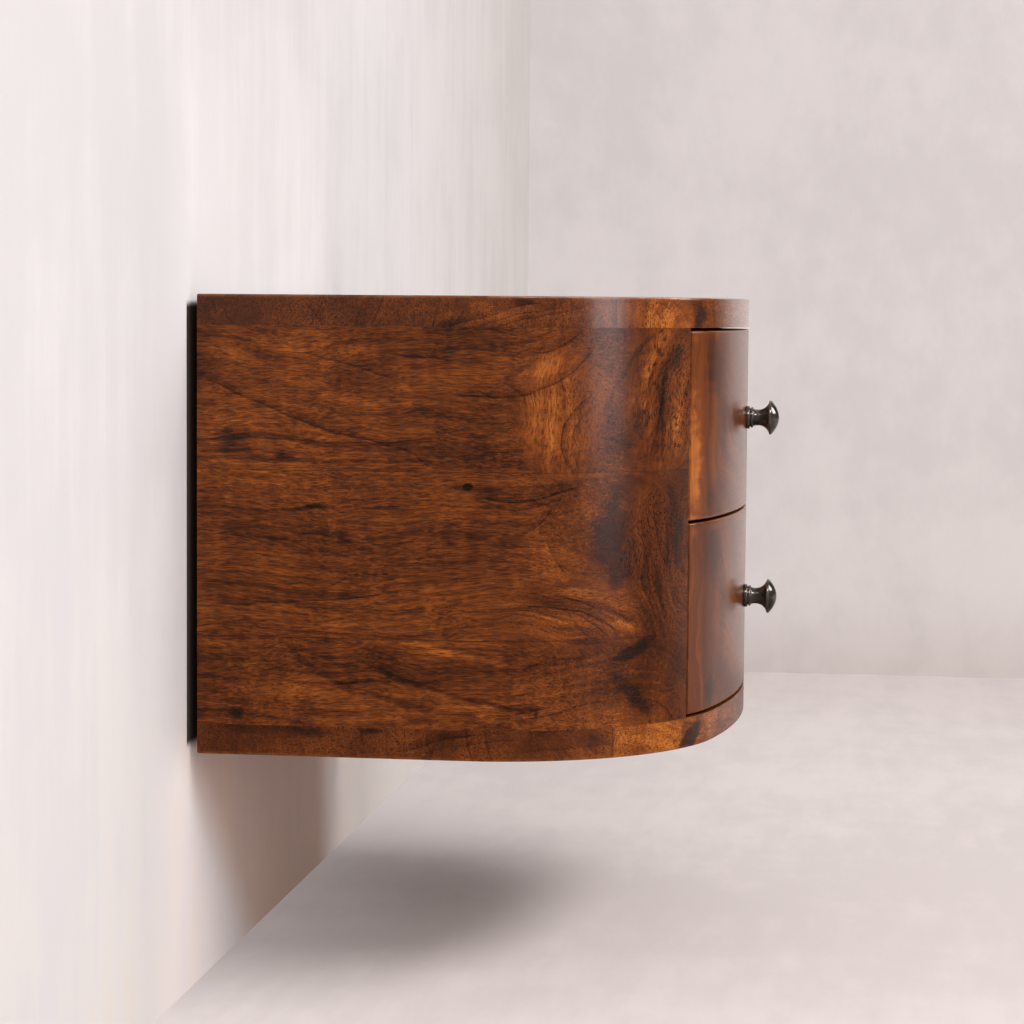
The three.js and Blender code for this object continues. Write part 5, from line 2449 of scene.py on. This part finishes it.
class Metals:
    """The metal and rubber finishes, each built once."""

    def __init__(self, effects: Effects) -> None:
        """Builds the finishes.

        Args:
            effects: The shared shader groups.
        """
        blackened = Metal(
            "Blackened metal",
            colour=(0.125, 0.104, 0.09),
            shade=(0.04, 0.032, 0.027),
            rubbed=(0.32, 0.26, 0.22),
            roughness=0.15,
            stretch=(260, 260, 260),
            relief=0.2,
            wear=0.5,
            metallic=0.6,
        )
        zinc = Metal(
            "Zinc steel",
            colour=(0.56, 0.57, 0.58),
            shade=(0.42, 0.42, 0.41),
            rubbed=(0.7, 0.7, 0.7),
            roughness=0.36,
            stretch=(500, 500, 500),
            relief=0.15,
            wear=0.2,
        )
        aluminium = Metal(
            "Bar aluminium",
            colour=(0.66, 0.67, 0.68),
            shade=(0.55, 0.56, 0.57),
            rubbed=(0.8, 0.8, 0.8),
            roughness=0.38,
            stretch=(30, 1500, 1500),
            relief=0.2,
            wear=0.4,
        )
        self.blackened = blackened.material(effects)
        self.zinc = zinc.material(effects)
        self.aluminium = aluminium.material(effects)
        self.rubber = Rubber().material()


# The room


# Painted shade: the colour that the far corner's shade multiplies into the plaster.
PAINTED_CORNER_SHADE: Colour = (0.87, 0.84, 0.815)
BOUNCE = 0.8  # of the floor's and far wall's tone, for light that bounces off them
FAINT_GLOSS = 0.06  # of their tone, in reflections where they hardly show
BY_SIDE_LIGHT = (-2.0, -4.4)  # X over which surfaces darken towards the side light
LAMP_SHADE: Colour = (0.5, 0.5, 0.5)


class Lit(Enum):
    """What a lamp lights: everything, only reflections, or everything but reflections."""

    ALL = "all"
    GLOSS = "gloss"
    MATT = "matt"


@dataclass(frozen=True)
class SoftBox:
    """A large soft lamp: where it stands, its width and height, its power and its tint."""

    name: str
    place: tuple[float, float, float]
    aim: tuple[float, float, float]
    width: float
    height: float
    power: float
    tint: Colour = (1.0, 1.0, 1.0)
    lit: Lit = Lit.ALL

    def build(self) -> None:
        """Hangs the lamp."""
        lamp = bpy.data.lights.new(self.name, "AREA")
        lamp.shape = "RECTANGLE"
        lamp.size, lamp.size_y = self.width, self.height
        lamp.energy = self.power
        lamp.color = self.tint
        holder = bpy.data.objects.new(self.name, lamp)
        holder.location = self.place
        way = Vector(self.aim) - Vector(self.place)
        holder.rotation_euler = way.to_track_quat("-Z", "Y").to_euler()
        holder.visible_diffuse = self.lit is not Lit.GLOSS
        holder.visible_glossy = self.lit is not Lit.MATT
        bpy.context.scene.collection.objects.link(holder)


@dataclass(frozen=True)
class Plaster:
    """The pale plaster of one surface of the room.

    The strokes are how fine the trowel's marks are along each axis. The painted corner
    shade is the axis along which shade from the far corner is painted onto the surface,
    from where to where, and how much. The gloss is how much of the tone reflections show,
    where 0 hides the surface from them, and mirrored the axis along which they begin to
    show it, from where to where. A see-through surface lets the lamps and the sky shine
    through it onto the object: only the camera, later bounces and the reflections named
    above meet it. Near the side light, which stands at far -X, every surface is painted
    darker, so that the light's pool doesn't clip to white.
    """

    name: str
    tone: Colour
    strokes: tuple[float, float, float]
    painted_corner_shade: tuple[str, float, float, float]
    see_through: bool = True
    gloss: float = 0.0
    mirrored: tuple[str, float, float] = ("X", 0.0, 1.0)
    # The wall that holds the case gets painted light and shade round it.
    paints_case_shading: bool = False

    def material(self) -> bpy.types.Material:
        """Builds the plaster and returns its material."""
        material = bpy.data.materials.new(self.name)
        tree = emptied(material)
        where = tree.add("ShaderNodeTexCoord").outputs["Object"]
        place = tree.parts(where)
        colour = self.colour(tree, where, place)
        rays = tree.add("ShaderNodeLightPath").outputs
        shown = tree.span(place[self.mirrored[0]], *self.mirrored[1:])
        if self.gloss:
            colour = self.dimmed(tree, rays, shown, colour)
        surface = tree.add("ShaderNodeBsdfDiffuse", {"Color": colour}).outputs[0]
        if self.see_through:
            surface = self.opened(tree, rays, shown, surface)
        tree.add("ShaderNodeOutputMaterial", {"Surface": surface})
        return material

    def colour(self, tree: Tree, where: Socket, place: bpy.types.NodeOutputs) -> Socket:
        """Mixes the plaster's colour, with its painted corner shade and the painted shade near the side
        light.

        Args:
            tree: The plaster's tree.
            where: The surface's own coordinates.
            place: Their X, Y and Z.

        Returns:
            The colour's socket.
        """
        cloud: Feed = 0.0
        for scales, share in (((2.2, 2.2, 3.2), 0.5), ((13, 13, 8), 0.22), (self.strokes, 0.28)):
            layer = tree.noise(tree.scaled(where, scales), 5.0, 0.6, share)
            cloud = tree.math("MULTIPLY_ADD", layer, share, cloud)
        darker, paler = (tuple(min(1.0, c * share) for c in self.tone) for share in (0.955, 1.045))
        colour = tree.blend(tree.span(cloud, 0.42, 0.58), darker, paler)
        # Painted shade towards the far corner, then painted shade near the side light.
        axis, start, end, amount = self.painted_corner_shade
        shade = tree.product(tree.span(place[axis], start, end), amount)
        colour = tree.blend(shade, colour, PAINTED_CORNER_SHADE, "MULTIPLY")
        by_lamp = tree.span(place["X"], *BY_SIDE_LIGHT)
        colour = tree.blend(by_lamp, colour, LAMP_SHADE, "MULTIPLY")
        return self.painted_case_shading(tree, place, cloud, colour) if self.paints_case_shading else colour

    def dimmed(
        self,
        tree: Tree,
        rays: bpy.types.NodeOutputs,
        shown: Socket,
        colour: Socket,
    ) -> Socket:
        """Gives reflections and bounced light their own share of the colour.

        Args:
            tree: The plaster's tree.
            rays: What kind of ray meets the surface.
            shown: Where reflections show it.
            colour: The plaster's colour.

        Returns:
            The socket with the new colour.
        """
        glossy = tree.math("MULTIPLY_ADD", shown, self.gloss - FAINT_GLOSS, FAINT_GLOSS - BOUNCE)
        share = tree.math("MULTIPLY_ADD", rays["Is Glossy Ray"], glossy, BOUNCE)
        share = tree.math("MAXIMUM", share, rays["Is Camera Ray"])
        return tree.blend(1.0, colour, tree.joined(share, share, share), "MULTIPLY")

    def opened(
        self,
        tree: Tree,
        rays: bpy.types.NodeOutputs,
        shown: Socket,
        surface: Socket,
    ) -> Socket:
        """Lets the light through that should not meet the surface.

        Args:
            tree: The plaster's tree.
            rays: What kind of ray meets the surface.
            shown: Where reflections show it.
            surface: The plaster's shader.

        Returns:
            The socket with the new shader.
        """
        later = tree.math("GREATER_THAN", rays["Ray Depth"], 0.5)
        seen = tree.math("MULTIPLY_ADD", rays["Is Shadow Ray"], later, rays["Is Camera Ray"])
        if self.gloss:
            seen = tree.math("MULTIPLY_ADD", rays["Is Glossy Ray"], shown, seen)
        deep = tree.math("GREATER_THAN", rays["Diffuse Depth"], 1.5)
        seen = tree.math("ADD", seen, deep, clamp=True)
        backs = tree.add("ShaderNodeNewGeometry").outputs["Backfacing"]
        solid = tree.product(seen, tree.math("SUBTRACT", 1.0, backs))
        clear = tree.add("ShaderNodeBsdfTransparent").outputs[0]
        return tree.mixed(solid, clear, surface)

    def painted_case_shading(
        self,
        tree: Tree,
        place: bpy.types.NodeOutputs,
        cloud: Socket,
        colour: Socket,
    ) -> Socket:
        """Paints light and shade on the wall round the case: painted light above it and beside its
        shadow, a warm painted shadow below it, painted shade left of it and in the gap behind it, and a
        warm stain low down that also stands in for light bounced off the wood.

        Args:
            tree: The plaster's tree.
            place: The wall's own X, Y and Z.
            cloud: The plaster's unevenness.
            colour: The plaster's colour so far.

        Returns:
            The socket with the new colour.
        """
        bottom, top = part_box("bottom_board")[0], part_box("top_board")[1]
        x, z = place["X"], place["Z"]
        # Warm stain low on the wall, partly real stain and partly painted light: it also stands in for
        # warm light bounced off the wood.
        low_stain_and_bounce = tree.product(tree.span(z, 0.05, -0.34), tree.span(cloud, 0.4, 0.6))
        colour = tree.blend(low_stain_and_bounce, colour, (0.7, 0.655, 0.615))
        # Painted light above the case: the wall there is made paler, against the shade that the case
        # casts on it.
        beside = tree.math("ABSOLUTE", tree.math("ADD", x, 0.03))
        above = tree.product(
            tree.span(z, 0.34, 0.07),
            tree.span(beside, 0.33, 0.14),
            tree.span(z, 0.0, 0.09),
        )
        # Painted warm shadow below the case: a warm tint where its shadow falls on the wall, standing in
        # for light bounced off the wood.
        low = tree.span(z, -0.18, -0.23)
        slant = tree.math("MULTIPLY_ADD", z, 1.1, x)
        shaded = tree.product(tree.span(slant, -0.53, -0.44), tree.span(x, 0.22, 0.15))
        # Painted light beside that shadow: the wall low down is made paler outside the shadow's outline.
        sideways = tree.math("ABSOLUTE", x)
        lit = tree.product(tree.math("SUBTRACT", 1.0, shaded), tree.span(sideways, 0.36, 0.24))
        # Painted shade on the wall just left of the case.
        left = tree.product(
            tree.span(x, -0.46, -0.26),
            tree.span(x, -0.18, -0.25),
            tree.span(z, 0.07, -0.03),
        )
        # Each mask multiplies the colour: slightly darker past X = -0.35, painted light above the case,
        # the warm painted shadow below it, painted light beside that shadow and painted shade left of
        # the case.
        for mask, tone in (
            (tree.span(x, -0.35, -1.0), (0.965, 0.965, 0.965)),
            (above, (1.28, 1.28, 1.28)),
            (tree.product(low, shaded), (1.02, 0.82, 0.71)),
            (tree.product(low, lit), (1.34, 1.3, 1.29)),
            (left, (0.92, 0.91, 0.91)),
        ):
            colour = tree.blend(mask, colour, tone, "MULTIPLY")
        # Painted shade: the wall is dark in the narrow gap behind the case, where the case shades it.
        reach, blur = top.x - top.y, 0.5 * MM
        painted_gap_shade = tree.product(
            tree.span(sideways, reach + blur, reach - blur),
            tree.span(z, bottom.z + 3 * MM, bottom.z + 9 * MM),
            tree.span(z, top.z - 3 * MM, top.z - 9 * MM),
        )
        return tree.blend(painted_gap_shade, colour, (0.045, 0.033, 0.026))


DAYLIGHT: Colour = (1.0, 0.985, 0.97)
LAMPS = (
    SoftBox("Window light", (-1.1, -4.1, 3.7), (0, -0.2, -0.2), 6.0, 1.3, 262.0, DAYLIGHT),
    SoftBox("Side light", (-4.6, -1.6, 1.6), (0, -0.2, -0.1), 2.6, 2.6, 112.0, DAYLIGHT, Lit.MATT),
    SoftBox(
        "Strip light",
        (-1.16, -2.15, 0.75),
        (-0.2, -0.27, 0.75),
        0.66,
        1.7,
        12.0,
        (0.95, 0.95, 1.0),
        Lit.GLOSS,
    ),
    SoftBox("Left glint", (-2.6, -1.2, 2.6), (0, -0.37, 0), 1.1, 1.1, 60.0, lit=Lit.GLOSS),
    SoftBox("Front glint", (1.5, -3.8, 1.4), (0, -0.37, 0), 1.1, 1.1, 60.0, lit=Lit.GLOSS),
)


class Studio:
    """The pale room, the lamps and the camera."""

    floor_z = -0.370
    far_x = 1.43
    floor_tone: Colour = (0.76, 0.69, 0.676)
    wall_tone: Colour = (0.705, 0.69, 0.695)
    far_tone: Colour = (0.67, 0.632, 0.625)
    ambient: Colour = (0.92, 0.88, 0.88)

    lens_mm = 97.5
    sensor_mm = 36.0
    camera_place = Vector((-2.0039, -0.4528, 0.0794))
    camera_yaw = math.radians(7.81)
    camera_pitch = math.radians(4.217)
    camera_roll = math.radians(0.449)

    def build(self) -> None:
        """Builds the room round the object."""
        self.room()
        self.world()
        self.camera()
        for lamp in LAMPS:
            lamp.build()
        bpy.context.scene.view_settings.view_transform = "Standard"

    def room(self) -> None:
        """Builds the floor, the wall that the case hangs on and the far wall."""
        span, low, high, far = 6.0, self.floor_z, 4.0, self.far_x
        floor = Plaster(
            "Floor plaster",
            self.floor_tone,
            strokes=(9, 44, 9),
            painted_corner_shade=("X", 0.8, 1.4, 0.55),
            see_through=False,
            gloss=0.6,
        )
        wall = Plaster(
            "Wall plaster",
            self.wall_tone,
            strokes=(30, 30, 3.5),
            painted_corner_shade=("X", 0.15, 1.5, 1.0),
            paints_case_shading=True,
        )
        far_wall = Plaster(
            "Far wall plaster",
            self.far_tone,
            strokes=(28, 28, 20),
            painted_corner_shade=("Z", -0.25, -0.37, 0.75),
            gloss=1.3,
            mirrored=("Y", -1.25, -0.85),
        )
        corners = [(-span, -span, low), (span, -span, low), (span, span, low), (-span, span, low)]
        surfaces = [(sheet("floor", corners), floor)]
        corners = [(-span, 0.0, low), (span, 0.0, low), (span, 0.0, high), (-span, 0.0, high)]
        surfaces.append((sheet("wall", corners), wall))
        corners = [(far, 0.0, low), (far, -span, low), (far, -span, high), (far, 0.0, high)]
        surfaces.append((sheet("far_wall", corners), far_wall))
        for surface, plaster in surfaces:
            surface.data.materials.append(plaster.material())

    def world(self) -> None:
        """Builds an even pale sky that lights the object softly and hardly shows in its gloss."""
        world = bpy.data.worlds.new("Room light")
        bpy.context.scene.world = world
        tree = emptied(world)
        rays = tree.add("ShaderNodeLightPath").outputs
        way = tree.parts(tree.add("ShaderNodeTexCoord").outputs["Generated"])
        walled = tree.span(tree.math("MULTIPLY_ADD", way["Z"], 0.4, way["Y"]), 0.1, 0.6)
        mirrored_rays = tree.math("ADD", rays["Is Glossy Ray"], rays["Is Transmission Ray"], clamp=True)
        shows = tree.math("MULTIPLY_ADD", mirrored_rays, walled, rays["Is Camera Ray"])
        beside = tree.math("MULTIPLY_ADD", tree.span(way["Y"], -0.45, 0.05), 0.09, 0.01)
        soft, dim, pale = (
            tree.add("ShaderNodeBackground", {"Color": opaque(colour), "Strength": strength}).outputs[0]
            for colour, strength in ((self.ambient, 0.5), (self.ambient, beside), (self.far_tone, 1.0))
        )
        shone = tree.mixed(mirrored_rays, soft, dim)
        tree.add("ShaderNodeOutputWorld", {"Surface": tree.mixed(shows, shone, pale)})

    def camera(self) -> None:
        """Sets the camera where the photograph was taken from."""
        yaw, pitch, roll = self.camera_yaw, self.camera_pitch, self.camera_roll
        level = Vector((math.cos(yaw), math.sin(yaw), 0))
        right = Vector((math.sin(yaw), -math.cos(yaw), 0))
        up = Vector((0, 0, 1))
        ahead = math.cos(pitch) * level - math.sin(pitch) * up
        tilted = math.sin(pitch) * level + math.cos(pitch) * up
        axis_x = math.cos(roll) * right + math.sin(roll) * tilted
        axis_y = -math.sin(roll) * right + math.cos(roll) * tilted
        data = bpy.data.cameras.new("Camera")
        data.lens = self.lens_mm
        data.sensor_width = self.sensor_mm
        data.clip_start, data.clip_end = 0.05, 50.0
        camera = bpy.data.objects.new("Camera", data)
        turn = Matrix((axis_x, axis_y, -ahead)).transposed().to_4x4()
        camera.matrix_world = Matrix.Translation(self.camera_place) @ turn
        bpy.context.scene.collection.objects.link(camera)
        bpy.context.scene.camera = camera


def sheet(name: str, corners: Sequence[tuple[float, float, float]]) -> bpy.types.Object:
    """A flat four-cornered surface for the room.

    Args:
        name: The surface's name.
        corners: Its corners, anticlockwise seen from its front.

    Returns:
        The surface.
    """
    mesh = bpy.data.meshes.new(name)
    mesh.from_pydata(corners, [], [(0, 1, 2, 3)])
    surface = bpy.data.objects.new(name, mesh)
    bpy.context.scene.collection.objects.link(surface)
    return surface


def main() -> None:
    """Builds the nightstand and the room round it."""
    logging.basicConfig(level=logging.INFO, format="%(name)s %(message)s")
    effects = Effects()
    metals = Metals(effects)
    tools = Tools(metals)
    shop = Workshop(effects, metals, tools)
    case = Case(shop)
    case.build()
    for level in Level:
        Drawer(level, case.plan, shop).build()
    Studio().build()


if __name__ == "__main__":
    main()
